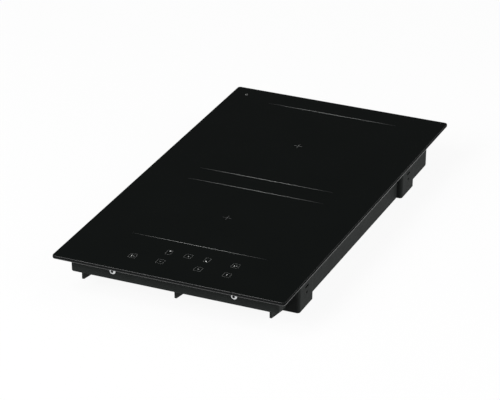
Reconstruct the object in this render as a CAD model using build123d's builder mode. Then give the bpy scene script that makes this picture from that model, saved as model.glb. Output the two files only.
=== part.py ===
from build123d import *
import math
import os

# Two-zone built-in induction hob. Millimetres, +Z up, -Y is the control side.
# The origin is under the middle of the glass, at the level of the tub's underside.

# --- glass-ceramic plate -------------------------------------------------
glass_width = 288.0
glass_depth = 520.0
glass_thickness = 4.0
glass_corner_radius = 4.0
glass_arris = 0.6

# --- moulded tub ---------------------------------------------------------
tub_height = 43.5  # from its underside to the underside of the glass
tub_wall = 2.0
tub_draft = 1.0  # degrees
rim_gap = 0.3  # tub rim to glass
side_overhang = 9.5  # glass edge past the side boxes, at the bottom
front_overhang = 18.0  # glass edge past the front wall
rear_overhang = 20.5
box_reach = 6.5  # side boxes stand out from the main wall
box_length = 41.0
rear_box_y = 145.5
tray_side_step = 1.0  # the front tray is wider than the deep part
tray_depth = 22.0  # glass underside down to the tray's underside
tray_length = 46.5  # front wall back to the deep part
rear_corner_radius = 16.0
front_corner_radius = 3.0
box_corner_radius = 3.5
tub_bottom_round = 1.2
tray_bottom_round = 2.2

# --- two cooking zones ---------------------------------------------------
rear_zone_diameter = 208.0
zone_gap = 32.0
rear_zone_edge = 11.0  # rear zone's edge to the tub's inner rear wall
front_zone_edge = 22.0  # front zone's edge to the deep part's inner front wall
winding_margin = 10.0  # the winding ends inside the zone's edge
winding_thickness = 4.5
winding_inner_radius = 20.0
groove_depth = 0.9
mica_thickness = 0.5
former_thickness = 2.0
ferrite_thickness = 4.0
ferrite_width = 15.0
leaf_gap = 5.5  # former's underside to the carrier plate
plate_thickness = 1.5

# --- general clearances --------------------------------------------------
running_clearance = 0.04
slip_clearance = 0.3
hole_clearance = 0.2

os.makedirs("parts", exist_ok=True)


def write(solid, label):
    """Label a finished piece and write it as one STEP file."""
    solid.label = label
    export_step(solid, f"parts/{label}.step")


# =========================================================================
# Levels, from the floor up and from the glass down
# =========================================================================
draft_slope = math.tan(math.radians(tub_draft))
glass_bottom = tub_height
rim_level = glass_bottom - rim_gap
floor_level = tub_wall
tray_bottom = glass_bottom - tray_depth
tray_floor = tray_bottom + tub_wall
mica_bottom = glass_bottom - mica_thickness
winding_bottom = mica_bottom - winding_thickness
former_bottom = winding_bottom - former_thickness
plate_top = former_bottom - leaf_gap
plate_bottom = plate_top - plate_thickness

# Plan of the tub, at its underside
box_half = glass_width / 2 - side_overhang
tub_half = box_half - box_reach
tray_half = tub_half + tray_side_step
tray_front = -glass_depth / 2 + front_overhang
deep_front = tray_front + tray_length
tub_rear = glass_depth / 2 - rear_overhang
front_box_y = deep_front + box_length / 2

# Inside faces of the deep part, at its floor
inner_half = tub_half - tub_wall
inner_front = deep_front + tub_wall
inner_rear = tub_rear - tub_wall

# Coil centres: the front zone takes the depth that the rear zone leaves
rear_coil_radius = rear_zone_diameter / 2 - winding_margin
rear_coil_y = inner_rear - rear_zone_edge - rear_zone_diameter / 2
front_zone_rear = rear_coil_y - rear_zone_diameter / 2 - zone_gap
front_zone_diameter = front_zone_rear - inner_front - front_zone_edge
front_coil_radius = front_zone_diameter / 2 - winding_margin
front_coil_y = front_zone_rear - front_zone_diameter / 2


# =========================================================================
# Glass-ceramic plate, with a ground arris round both edges
# =========================================================================
with BuildPart() as glass_plate:
    with BuildSketch(Plane.XY.offset(glass_bottom)):
        RectangleRounded(glass_width, glass_depth, glass_corner_radius)
    extrude(amount=glass_thickness)
    chamfer(glass_plate.edges().group_by(Axis.Z)[-1], glass_arris)
    chamfer(glass_plate.edges().group_by(Axis.Z)[0], glass_arris)
write(glass_plate.part, "glass_plate")

# =========================================================================
# Base tub: drafted walls, a shallow tray in front, boxes on both sides
# =========================================================================
rim_screw_x = 75.5
rim_screw_drop = 10.7  # below the glass
rim_screw_head_radius = 4.2
rim_screw_head_height = 2.2
rim_screw_radius = 1.9
rim_screw_length = 5.0
rim_screw_level = glass_bottom - rim_screw_drop
flank_screw_front_y = -70.0
flank_screw_rear_y = 40.0
spot_face_depth = 0.4

clip_slot_length = 9.5
clip_slot_height = 2.6
clip_slot_drop = 17.8  # below the glass
clip_screw_radius = 1.8
clip_screw_drop = 25.5
clip_boss_radius = 4.0
clip_boss_length = 8.5
front_clip_y = front_box_y + 0.5
rear_clip_y = rear_box_y + 0.5

gusset_thickness = 2.6
gusset_x = 117.0
gusset_setback = 6.0
gusset_front_height = 10.2
gusset_slope = 9.5  # degrees
gusset_round = 1.2

post_radius = 3.8
post_wall_gap = 3.5
post_bore_radius = 1.35
post_bore_depth = 10.0
board_boss_radius = 3.5
board_boss_height = 5.0

guard_seat_radius = 33.0
guard_opening_radius = 30.0
guard_seat_depth = 1.0

gland_inset = 58.0  # from the side wall
gland_x = tub_half - gland_inset
gland_level = 17.0
gland_body_radius = 8.0
gland_flange_radius = 11.0

cord_radius = 4.5
clamp_pitch_half = 12.5
clamp_boss_radius = 3.5
clamp_boss_level = 19.0
clamp_y = tub_rear - tub_wall - 8.0
clamp_boss_sites = [(gland_x + side * clamp_pitch_half, clamp_y) for side in (-1, 1)]

vent_width = 3.4
vent_pitch = 8.0
vent_length = 24.0
vent_count = 8
front_vent_height = 9.0

# Carrier posts stand close to the side walls
post_x = inner_half - post_wall_gap - post_radius
plate_front = inner_front + 14.0
plate_rear = inner_rear - 3.0
post_ys = (plate_front + 9.0, (plate_front + plate_rear) / 2, plate_rear - 22.0)
post_sites = [(side * post_x, y) for side in (-1, 1) for y in post_ys]

# Boards lie between the posts
board_gap = 2.0
board_thickness = 1.6
board_bottom = floor_level + board_boss_height
board_top = board_bottom + board_thickness
board_half = post_x - post_radius - board_gap
boss_inset = 6.0

# Blower: a scroll of three quarter arcs, its outlet facing the heat sink
impeller_radius = 35.0
tongue_gap = 3.5
scroll_growth = 3.5
scroll_wall = 1.6
blower_setback = 89.5  # its axis in front of the tub's rear wall
outlet_lead = 1.5  # its outlet's end in front of the filter board
scroll_radius_1 = impeller_radius + tongue_gap
scroll_radius_2 = scroll_radius_1 + scroll_growth
scroll_radius_3 = scroll_radius_2 + scroll_growth
scroll_reach_left = scroll_growth + scroll_radius_3
scroll_reach_right = scroll_radius_1
blower_x = -board_half + scroll_reach_left + scroll_wall
blower_y = tub_rear - blower_setback

filter_board_length = 178.0
filter_board_rear_gap = 13.0
board_blower_gap = 3.0
board_front_gap = 6.0
board_row_gap = 10.0
filter_board_rear = inner_rear - filter_board_rear_gap
filter_board_front = filter_board_rear - filter_board_length
filter_board_left = blower_x + scroll_reach_right + scroll_wall + board_blower_gap
outlet_reach = blower_y - filter_board_front + outlet_lead
inverter_board_front = inner_front + board_front_gap
inverter_board_rear = filter_board_front - board_row_gap

inverter_boss_sites = []
for side in (-1, 1):
    for boss_y in (inverter_board_front + boss_inset, inverter_board_rear - boss_inset):
        inverter_boss_sites.append((side * (board_half - boss_inset), boss_y))
filter_boss_sites = []
for boss_x in (filter_board_left + boss_inset, board_half - boss_inset):
    for boss_y in (filter_board_front + boss_inset, filter_board_rear - boss_inset):
        filter_boss_sites.append((boss_x, boss_y))
board_boss_sites = inverter_boss_sites + filter_boss_sites

# Blower screws come up through the floor into lugs on the outside of the scroll
lug_radius = 4.2
lug_overlap = 0.8
lug_right_angle = 35.0
lug_left_angle = 135.0


def scroll_site(centre_dx, centre_dy, radius, angle):
    """A lug's centre on the outside of one of the scroll's arcs."""
    reach = radius + scroll_wall + lug_radius - lug_overlap
    dx = centre_dx + reach * math.cos(math.radians(angle))
    dy = centre_dy + reach * math.sin(math.radians(angle))
    return (blower_x + dx, blower_y + dy)


lug_sites = [
    scroll_site(-scroll_growth, 0, scroll_radius_2, lug_right_angle),
    scroll_site(-scroll_growth, -scroll_growth, scroll_radius_3, lug_left_angle),
    (blower_x + scroll_wall + lug_radius - lug_overlap, blower_y - outlet_reach + lug_radius),
]
lug_bore_radius = 1.5
countersink_radius = 3.6
blower_screw_radius = 1.45
blower_screw_length = 12.0


def outward_plane(x, y, z, out):
    """A plane square to a wall, its normal pointing out of the wall."""
    return Plane(origin=(x, y, z), x_dir=out.cross(Vector(0, 0, 1)), z_dir=out)


def rim_screw_seats():
    """Planes that the rim screws' heads seat on, their normals out of the tub."""
    deep_growth = rim_screw_level * draft_slope - spot_face_depth
    tray_growth = (rim_screw_level - tray_bottom) * draft_slope - spot_face_depth
    seats = []
    for side in (-1, 1):
        x = side * rim_screw_x
        seats.append(outward_plane(x, tray_front - tray_growth, rim_screw_level, Vector(0, -1, 0)))
        seats.append(outward_plane(x, tub_rear + deep_growth, rim_screw_level, Vector(0, 1, 0)))
        for y in (flank_screw_front_y, flank_screw_rear_y):
            x_flank = side * (tub_half + deep_growth)
            seats.append(outward_plane(x_flank, y, rim_screw_level, Vector(side, 0, 0)))
    return seats


def deep_outline(inset):
    """Plan of the deep part and its four side boxes, moved inwards by inset."""
    half = tub_half - inset
    front = deep_front + inset
    rear = tub_rear - inset
    with Locations((0, (front + rear) / 2)):
        body = Rectangle(2 * half, rear - front)
    fillet(body.vertices().group_by(Axis.Y)[-1], rear_corner_radius - inset)
    for y in (front_box_y, rear_box_y):
        with Locations((0, y)):
            RectangleRounded(
                2 * (half + box_reach), box_length - 2 * inset, box_corner_radius - inset * 0.8
            )


def tray_outline(inset, rear_edge):
    """Plan of the shallow front tray, moved inwards by inset on three sides."""
    front = tray_front + inset
    with Locations((0, (front + rear_edge) / 2)):
        body = Rectangle(2 * (tray_half - inset), rear_edge - front)
    fillet(body.vertices().group_by(Axis.Y)[0], front_corner_radius - inset * 0.8)


with BuildPart() as base_tub:
    # outer form
    with BuildSketch(Plane.XY):
        deep_outline(0)
    extrude(amount=rim_level, taper=-tub_draft)
    fillet(base_tub.edges().group_by(Axis.Z)[0], tub_bottom_round)
    with BuildSketch(Plane.XY.offset(tray_bottom)):
        tray_outline(0, deep_front + tub_wall)
    extrude(amount=rim_level - tray_bottom, taper=-tub_draft)
    tray_edges = base_tub.edges().filter_by_position(Axis.Z, tray_bottom - 0.01, tray_bottom + 0.01)
    fillet(tray_edges.filter_by_position(Axis.Y, tray_front - 1, deep_front - 1), tray_bottom_round)
    # cavities
    with BuildSketch(Plane.XY.offset(floor_level)):
        deep_outline(tub_wall - floor_level * draft_slope)
    extrude(amount=tub_height, taper=-tub_draft, mode=Mode.SUBTRACT)
    with BuildSketch(Plane.XY.offset(tray_floor)):
        tray_outline(tub_wall - tub_wall * draft_slope, deep_front + tub_wall + 1.0)
    extrude(amount=tub_height, taper=-tub_draft, mode=Mode.SUBTRACT)
    # gusset ribs between the tray's underside and the deep part's front wall
    gusset_front = tray_front + gusset_setback
    gusset_front_level = tray_bottom - gusset_front_height
    gusset_run = deep_front + tub_wall / 2 - gusset_front
    gusset_rear_level = gusset_front_level - gusset_run * math.tan(math.radians(gusset_slope))
    for x in (-gusset_x, 0, gusset_x):
        with BuildSketch(Plane.YZ.offset(x)) as gusset:
            with BuildLine():
                Polyline(
                    (gusset_front, tray_bottom + tub_wall / 2),
                    (gusset_front, gusset_front_level),
                    (gusset_front + gusset_run, gusset_rear_level),
                    (gusset_front + gusset_run, tray_bottom + tub_wall / 2),
                    close=True,
                )
            make_face()
            toe = (x, gusset_front, gusset_front_level)
            fillet(gusset.vertices().sort_by_distance(toe)[0], gusset_round)
        extrude(amount=gusset_thickness / 2, both=True)
    # posts for the carrier plate and bosses for the boards
    with BuildSketch(Plane.XY.offset(floor_level)):
        with Locations(*post_sites):
            Circle(post_radius)
    extrude(amount=plate_bottom - floor_level)
    with BuildSketch(Plane.XY.offset(floor_level)):
        with Locations(*board_boss_sites):
            Circle(board_boss_radius)
    extrude(amount=board_boss_height)
    with BuildSketch(Plane.XY.offset(plate_bottom)):
        with Locations(*post_sites):
            Circle(post_bore_radius)
    extrude(amount=-post_bore_depth, mode=Mode.SUBTRACT)
    with BuildSketch(Plane.XY.offset(board_bottom)):
        with Locations(*board_boss_sites):
            Circle(post_bore_radius)
    extrude(amount=-board_boss_height, mode=Mode.SUBTRACT)
    # air inlet under the blower, with a seat for the guard
    with BuildSketch(Plane.XY.offset(floor_level)):
        with Locations((blower_x, blower_y)):
            Circle(guard_seat_radius)
    extrude(amount=-guard_seat_depth, mode=Mode.SUBTRACT)
    with BuildSketch(Plane.XY):
        with Locations((blower_x, blower_y)):
            Circle(guard_opening_radius)
    extrude(amount=floor_level, mode=Mode.SUBTRACT)
    # countersunk holes for the blower's screws
    with Locations(*[(x, y, 0) for x, y in lug_sites]):
        with Locations(Rotation(180, 0, 0)):
            CounterSinkHole(
                blower_screw_radius + hole_clearance,
                countersink_radius,
                depth=tub_wall,
                counter_sink_angle=90,
            )
    # air outlet slots in the floor and in the deep front wall
    vent_x = -board_half + 1.0 + (vent_count - 1) * vent_pitch / 2 + vent_width
    vent_y = inner_front + 4.0 + vent_length / 2
    with BuildSketch(Plane.XY):
        with Locations((vent_x, vent_y)):
            with GridLocations(vent_pitch, 0, vent_count, 1):
                SlotOverall(vent_length, vent_width, rotation=90)
    extrude(amount=floor_level, mode=Mode.SUBTRACT)
    with BuildSketch(Plane.XZ.offset(1 - deep_front)):
        with Locations((vent_x, (floor_level + tray_bottom) / 2)):
            with GridLocations(vent_pitch, 0, vent_count, 1):
                SlotOverall(front_vent_height, vent_width, rotation=90)
    extrude(amount=-tub_wall - 1, mode=Mode.SUBTRACT)
    # rim screw holes, each with a flat seat for the head
    for seat in rim_screw_seats():
        with BuildSketch(seat):
            Circle(rim_screw_head_radius + slip_clearance)
        extrude(amount=tub_wall, mode=Mode.SUBTRACT)
        with BuildSketch(seat):
            Circle(rim_screw_radius + hole_clearance)
        extrude(amount=-tub_wall, mode=Mode.SUBTRACT)
    # worktop clip fixings: a slot over a screw boss in each side box
    for side in (-1, 1):
        for y in (front_clip_y, rear_clip_y):
            out = Vector(side, 0, 0)
            wall_x = side * (box_half - tub_wall / 2)
            with BuildSketch(outward_plane(wall_x, y, glass_bottom - clip_screw_drop, out)):
                Circle(clip_boss_radius)
            extrude(amount=-clip_boss_length)
            with BuildSketch(outward_plane(wall_x, y, glass_bottom - clip_screw_drop, out)):
                Circle(clip_screw_radius)
            extrude(amount=clip_boss_length, both=True, mode=Mode.SUBTRACT)
            with BuildSketch(outward_plane(wall_x, y, glass_bottom - clip_slot_drop, out)):
                Rectangle(clip_slot_length, clip_slot_height)
            extrude(amount=tub_wall, both=True, mode=Mode.SUBTRACT)
    # round hole and flat seat for the cable gland, with a saddle and two bosses inside
    gland_seat_y = tub_rear + gland_level * draft_slope - spot_face_depth
    with BuildSketch(outward_plane(gland_x, gland_seat_y, gland_level, Vector(0, 1, 0))):
        Circle(gland_flange_radius + slip_clearance)
    extrude(amount=tub_wall, mode=Mode.SUBTRACT)
    with BuildSketch(outward_plane(gland_x, gland_seat_y, gland_level, Vector(0, 1, 0))):
        Circle(gland_body_radius + hole_clearance)
    extrude(amount=-tub_wall, mode=Mode.SUBTRACT)
    with BuildSketch(Plane.XY.offset(floor_level)):
        with Locations(*clamp_boss_sites):
            Circle(clamp_boss_radius)
    extrude(amount=clamp_boss_level - floor_level)
    with BuildSketch(Plane.XY.offset(floor_level)):
        with Locations((gland_x, clamp_y)):
            Rectangle(2 * clamp_pitch_half - 2 * clamp_boss_radius + 1, tub_wall)
    extrude(amount=gland_level - cord_radius - floor_level)
    with BuildSketch(Plane.XY.offset(clamp_boss_level)):
        with Locations(*clamp_boss_sites):
            Circle(post_bore_radius)
    extrude(amount=-post_bore_depth, mode=Mode.SUBTRACT)
write(base_tub.part, "base_tub")

# =========================================================================
# Under the glass: silicone bead, steel L frame and foam seal
# =========================================================================
bead_thickness = 0.8
bead_margin = 1.0
frame_thickness = 1.5
frame_flange = 7.0
frame_skirt = 13.0
frame_top = glass_bottom - bead_thickness
frame_bottom = frame_top - frame_skirt
frame_corner_radius = 2.0
seal_thickness = 1.5
seal_side_inset = 2.8
seal_end_inset = 4.0
seal_end_width = 5.0
seal_tub_gap = 0.8
seal_corner_radius = 3.0

frame_half = inner_half + frame_bottom * draft_slope - slip_clearance
frame_front = tray_front + tub_wall - (frame_bottom - tray_bottom) * draft_slope + slip_clearance
frame_rear = inner_rear + frame_bottom * draft_slope - slip_clearance


def frame_outline(inset, mode=Mode.ADD):
    """Plan of the L frame, moved inwards by inset."""
    front = frame_front + inset
    rear = frame_rear - inset
    with BuildSketch(mode=Mode.PRIVATE) as outline:
        with Locations((0, (front + rear) / 2)):
            body = Rectangle(2 * (frame_half - inset), rear - front)
        fillet(body.vertices().group_by(Axis.Y)[-1], rear_corner_radius - tub_wall - inset)
        fillet(outline.vertices().group_by(Axis.Y)[0], frame_corner_radius)
    add(outline.sketch, mode=mode)


with BuildPart() as glass_frame:
    with BuildSketch(Plane.XY.offset(frame_top)):
        frame_outline(0)
        frame_outline(frame_flange, Mode.SUBTRACT)
    extrude(amount=-frame_thickness)
    with BuildSketch(Plane.XY.offset(frame_top)):
        frame_outline(0)
        frame_outline(frame_thickness, Mode.SUBTRACT)
    extrude(amount=-frame_skirt)
    for seat in rim_screw_seats():
        with BuildSketch(seat):
            Circle(rim_screw_radius + running_clearance)
        extrude(amount=-rim_screw_length, mode=Mode.SUBTRACT)
write(glass_frame.part, "glass_frame")

with BuildPart() as adhesive_bead:
    with BuildSketch(Plane.XY.offset(frame_top)):
        frame_outline(bead_margin)
        frame_outline(frame_flange - bead_margin, Mode.SUBTRACT)
    extrude(amount=bead_thickness)
write(adhesive_bead.part, "adhesive_bead")

with BuildPart() as worktop_seal:
    seal_outer_half = glass_width / 2 - seal_side_inset
    seal_inner_half = box_half + glass_bottom * draft_slope + seal_tub_gap
    seal_outer_end = glass_depth / 2 - seal_end_inset
    with BuildSketch(Plane.XY.offset(glass_bottom)):
        RectangleRounded(2 * seal_outer_half, 2 * seal_outer_end, seal_corner_radius)
        Rectangle(2 * seal_inner_half, 2 * (seal_outer_end - seal_end_width), mode=Mode.SUBTRACT)
    extrude(amount=-seal_thickness)
write(worktop_seal.part, "worktop_seal")

# =========================================================================
# Screws
# =========================================================================
small_screw_radius = post_bore_radius - running_clearance
small_head_radius = 2.8
small_head_height = 1.8


def pan_screw(seat, head_radius, head_height, radius, length):
    """A pan-head screw standing on the plane seat, its shank going into the seat."""
    with BuildPart(seat) as screw:
        with Locations((0, 0, head_height / 2)):
            Cylinder(head_radius, head_height)
        fillet(screw.edges().filter_by(GeomType.CIRCLE).sort_by(SortBy.DISTANCE)[-1], head_height * 0.45)
        with Locations((0, 0, -length / 2)):
            Cylinder(radius, length)
    return screw.part


def screw_set(label, seats, head_radius, head_height, radius, length):
    """Write alike screws as one node."""
    with BuildPart() as screws:
        for seat in seats:
            add(pan_screw(seat, head_radius, head_height, radius, length))
    write(screws.part, label)


screw_set(
    "case_screws",
    rim_screw_seats(),
    rim_screw_head_radius,
    rim_screw_head_height,
    rim_screw_radius,
    rim_screw_length,
)
plate_seats = [Plane(origin=(x, y, plate_top)) for x, y in post_sites]
plate_screw_length = plate_thickness + post_bore_depth - 2.0
screw_set(
    "plate_screws", plate_seats, small_head_radius, small_head_height, small_screw_radius, plate_screw_length
)
board_seats = [Plane(origin=(x, y, board_top)) for x, y in board_boss_sites]
board_screw_length = board_thickness + board_boss_height - 1.0
screw_set(
    "board_screws", board_seats, small_head_radius, small_head_height, small_screw_radius, board_screw_length
)

# =========================================================================
# Carrier plate: aluminium sheet on the posts, with slots for the coil tails
# =========================================================================
plate_overlap = 4.2  # plate edge past the posts' centres
plate_half = post_x + plate_overlap
tail_spread = 8.0
tail_gap = 8.0
tail_radius = 1.75
tail_slot_margin = 3.5
terminal_height = 6.0
rear_tail_y = rear_coil_y - rear_coil_radius - tail_gap
front_tail_y = front_coil_y + front_coil_radius + tail_gap
tail_slot_length = 2 * (tail_spread + tail_slot_margin)
tail_slot_width = 2 * tail_slot_margin

with BuildPart() as carrier_plate:
    with BuildSketch(Plane.XY.offset(plate_bottom)):
        with Locations((0, (plate_front + plate_rear) / 2)):
            sheet = Rectangle(2 * plate_half, plate_rear - plate_front)
        fillet(sheet.vertices().group_by(Axis.Y)[-1], rear_corner_radius)
        fillet(sheet.vertices().group_by(Axis.Y)[0], front_corner_radius)
        with Locations(*post_sites):
            Circle(post_bore_radius + hole_clearance, mode=Mode.SUBTRACT)
        with Locations((0, rear_tail_y), (0, front_tail_y)):
            SlotOverall(tail_slot_length, tail_slot_width, mode=Mode.SUBTRACT)
    extrude(amount=plate_thickness)
write(carrier_plate.part, "carrier_plate")

# =========================================================================
# Coil units: former, ferrite bars, wound litz disc, mica, springs and sensor
# =========================================================================
lip_gap = 0.2
lip_thickness = 1.4
lip_notch = 26.0
hub_radius = 10.0
channel_wall = 1.2
channel_depth = 3.0
ferrite_inner_radius = 26.0
ferrite_outer_margin = 2.0
groove_count = 6
leaf_width = 10.0
leaf_thickness = 0.5
leaf_foot = 5.0
leaf_crown_gap = 0.1
leaf_side_gap = 1.0  # leaf spring to the channels beside it
leaf_radius_share = 0.8
sensor_cap_radius = 6.0
sensor_cap_height = 6.0
sensor_stem_radius = 3.0
mica_margin = 2.0
mica_hole_radius = 7.0


def coil_centre(y, level):
    """The plane square to a coil's axis, at one level."""
    return Plane(origin=(0, y, level))


def make_coil_unit(place, y, radius, tail_y, ferrite_count, leaf_angles):
    """Write the pieces of one coil unit, which is pressed up against the glass."""
    tail_side = math.copysign(1, tail_y - y)
    ferrite_length = radius - ferrite_outer_margin - ferrite_inner_radius
    ferrite_middle = ferrite_inner_radius + ferrite_length / 2
    channel_offset = ferrite_width / 2 + hole_clearance + channel_wall / 2
    half_sector = math.radians(180 / ferrite_count)
    leaf_seat = radius * leaf_radius_share
    sector_half_width = (leaf_seat - leaf_width / 2) * math.tan(half_sector)
    channel_half_width = (channel_offset + channel_wall / 2) / math.cos(half_sector)
    leaf_span = 2 * (sector_half_width - channel_half_width - leaf_side_gap)

    with BuildPart() as former:
        with BuildSketch(coil_centre(y, former_bottom)):
            Circle(radius + lip_gap + lip_thickness)
            Circle(hub_radius, mode=Mode.SUBTRACT)
        extrude(amount=former_thickness)
        with BuildSketch(coil_centre(y, winding_bottom)):
            Circle(radius + lip_gap + lip_thickness)
            Circle(radius + lip_gap, mode=Mode.SUBTRACT)
            with Locations((0, tail_side * radius)):
                Rectangle(lip_notch, lip_notch, mode=Mode.SUBTRACT)
        extrude(amount=winding_thickness)
        with BuildSketch(coil_centre(y, former_bottom)):
            with PolarLocations(ferrite_middle, ferrite_count):
                with Locations((0, channel_offset), (0, -channel_offset)):
                    Rectangle(ferrite_length, channel_wall)
        extrude(amount=-channel_depth)
    write(former.part, f"{place}_coil_former")

    with BuildPart() as ferrites:
        with BuildSketch(coil_centre(y, former_bottom)):
            with PolarLocations(ferrite_middle, ferrite_count):
                Rectangle(ferrite_length, ferrite_width)
        extrude(amount=-ferrite_thickness)
    write(ferrites.part, f"{place}_coil_ferrites")

    # the winding: turns laid in groups, shown by grooves, and its two tails
    with BuildPart() as winding:
        with BuildSketch(coil_centre(y, winding_bottom)):
            Circle(radius)
            Circle(winding_inner_radius, mode=Mode.SUBTRACT)
        extrude(amount=winding_thickness)
        groove_pitch = (radius - winding_inner_radius) / (groove_count + 1)
        with BuildSketch(Plane.XZ.offset(-y)):
            for turn in range(1, groove_count + 1):
                with Locations((winding_inner_radius + turn * groove_pitch, mica_bottom)):
                    Rectangle(2 * groove_depth, 2 * groove_depth, rotation=45)
        revolve(axis=Axis((0, y, 0), (0, 0, 1)), mode=Mode.SUBTRACT)
        tail_level = winding_bottom + winding_thickness / 2
        tail_foot = board_top + terminal_height
        for side in (-1, 1):
            x = side * tail_spread
            with BuildLine() as tail:
                FilletPolyline(
                    (x, y + tail_side * (radius - tail_gap / 2), tail_level),
                    (x, tail_y, tail_level),
                    (x, tail_y, tail_foot),
                    radius=tail_gap / 2,
                )
            with BuildSketch(Plane(origin=tail.line @ 1, z_dir=tail.line % 1)):
                Circle(tail_radius)
            sweep(path=tail.line)
    write(winding.part, f"{place}_winding")

    with BuildPart() as mica:
        with BuildSketch(coil_centre(y, mica_bottom)):
            Circle(radius + mica_margin)
            Circle(mica_hole_radius, mode=Mode.SUBTRACT)
        extrude(amount=mica_thickness)
    write(mica.part, f"{place}_mica_sheet")

    # leaf springs: flat feet on the carrier plate, the crown under the former
    with BuildPart() as leaves:
        crown = leaf_gap - leaf_crown_gap - leaf_thickness / 2
        foot = leaf_thickness / 2
        for angle in leaf_angles:
            outward = Vector(1, 0, 0).rotate(Axis.Z, angle)
            seat = Vector(0, y, plate_top) + outward * leaf_seat
            with BuildSketch(Plane(origin=seat, x_dir=outward.rotate(Axis.Z, 90), z_dir=outward)):
                with BuildLine() as strip:
                    Line((-leaf_span / 2 - leaf_foot, foot), (-leaf_span / 2, foot))
                    ThreePointArc((-leaf_span / 2, foot), (0, crown), (leaf_span / 2, foot))
                    Line((leaf_span / 2, foot), (leaf_span / 2 + leaf_foot, foot))
                trace(line_width=leaf_thickness)
            extrude(amount=leaf_width / 2, both=True)
    write(leaves.part, f"{place}_coil_springs")

    with BuildPart() as sensor:
        with BuildSketch(coil_centre(y, glass_bottom)):
            Circle(sensor_cap_radius)
        extrude(amount=-sensor_cap_height)
        with BuildSketch(coil_centre(y, plate_top)):
            Circle(sensor_stem_radius)
        extrude(amount=glass_bottom - sensor_cap_height - plate_top)
    write(sensor.part, f"{place}_heat_sensor")


make_coil_unit("rear", rear_coil_y, rear_coil_radius, rear_tail_y, 8, (22.5, 157.5, 292.5))
make_coil_unit("front", front_coil_y, front_coil_radius, front_tail_y, 6, (30, 150, 270))

# =========================================================================
# Inverter board with its heat sink, transistors and other tall parts
# =========================================================================
part_clearance = 1.2  # below the carrier plate
part_top = plate_bottom - part_clearance
board_hole_radius = post_bore_radius + hole_clearance
connector_width = 24.0
connector_depth = 6.0
connector_height = 6.0
connector_y = inverter_board_front + 4.5

sink_width = 48.0
sink_length = 150.0
sink_base = 3.5
sink_leg = 2.0
fin_thickness = 1.8
fin_pitch = 5.7
fin_count = 8
package_width = 16.0
package_length = 21.0
package_height = 5.0
package_pitch = 29.0
bridge_width = 30.0
bridge_length = 20.0

outlet_left = blower_x - scroll_reach_left
sink_x = (outlet_left + blower_x) / 2
sink_rear = inverter_board_rear - boss_inset - board_boss_radius - 3.0
package_y = sink_rear - package_length

# the tall parts stand in rows beside the heat sink, spread over the board's length
component_inset = 51.0  # from the board's edge to the middle of the rows
component_x = board_half - component_inset
bus_width = 46.0
bus_depth = 18.0
film_width = 32.0
film_depth = 14.0
film_pitch = 40.0
can_radius = 6.3
can_gap = 6.0
core_width = 25.0
core_depth = 14.0
bobbin_width = 17.0
bobbin_depth = 22.0
part_height = part_top - board_top - 1.0
row_depths = [bobbin_depth, film_depth, film_depth, bus_depth, bus_depth]
row_gap = (inverter_board_rear - inverter_board_front - sum(row_depths)) / (len(row_depths) + 1)
row_ys = []
row_front = inverter_board_front + row_gap
for row_depth in row_depths:
    row_ys.append(row_front + row_depth / 2)
    row_front += row_depth + row_gap


def board(label, left, right, front, rear, hole_sites, plugs):
    """A circuit board with its screw holes and the plug bodies soldered to it."""
    with BuildPart() as body:
        with BuildSketch(Plane.XY.offset(board_bottom)):
            with Locations(((left + right) / 2, (front + rear) / 2)):
                Rectangle(right - left, rear - front)
            with Locations(*hole_sites):
                Circle(board_hole_radius, mode=Mode.SUBTRACT)
        extrude(amount=board_thickness)
        with BuildSketch(Plane.XY.offset(board_top)):
            for x, y, width, depth in plugs:
                with Locations((x, y)):
                    Rectangle(width, depth)
        extrude(amount=connector_height)
    write(body.part, label)


def boxes(label, sites, width, depth, level, height, edge_round):
    """Alike box-shaped parts, rounded on their upper edges, as one node."""
    with BuildPart() as body:
        with BuildSketch(Plane.XY.offset(level)):
            with Locations(*sites):
                Rectangle(width, depth)
        extrude(amount=height)
        fillet(body.edges().group_by(Axis.Z)[-1], edge_round)
    write(body.part, label)


def cans(label, sites, radius, level, height):
    """Alike round parts standing on a board, as one node."""
    with BuildPart() as body:
        with BuildSketch(Plane.XY.offset(level)):
            with Locations(*sites):
                Circle(radius)
        extrude(amount=height)
        chamfer(body.edges().group_by(Axis.Z)[-1], radius * 0.1)
    write(body.part, label)


board(
    "inverter_board",
    -board_half,
    board_half,
    inverter_board_front,
    inverter_board_rear,
    inverter_boss_sites,
    [(0, connector_y, connector_width, connector_depth)],
)

with BuildPart() as heat_sink:
    leg_foot = board_top
    base_level = board_top + package_height
    with BuildSketch(Plane.XZ.offset(-sink_rear)):
        with Locations((sink_x, base_level + sink_base / 2)):
            Rectangle(sink_width, sink_base)
        with Locations((sink_x, (leg_foot + base_level) / 2)):
            with GridLocations(sink_width - sink_leg, 0, 2, 1):
                Rectangle(sink_leg, base_level - leg_foot)
        with Locations((sink_x, (base_level + sink_base + part_top) / 2)):
            with GridLocations(fin_pitch, 0, fin_count, 1):
                Rectangle(fin_thickness, part_top - base_level - sink_base)
    extrude(amount=sink_length)
write(heat_sink.part, "heat_sink")

package_sites = [(sink_x, package_y - index * package_pitch) for index in range(4)]
boxes(
    "power_transistors", package_sites, package_width, package_length, board_top, package_height, 0.4
)
bridge_site = (sink_x, package_y - 4 * package_pitch)
boxes("bridge_rectifier", [bridge_site], bridge_width, bridge_length, board_top, package_height, 0.6)

tail_sites = [(side * tail_spread, y) for y in (rear_tail_y, front_tail_y) for side in (-1, 1)]
cans("coil_terminals", tail_sites, 3.2, board_top, terminal_height)

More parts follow.
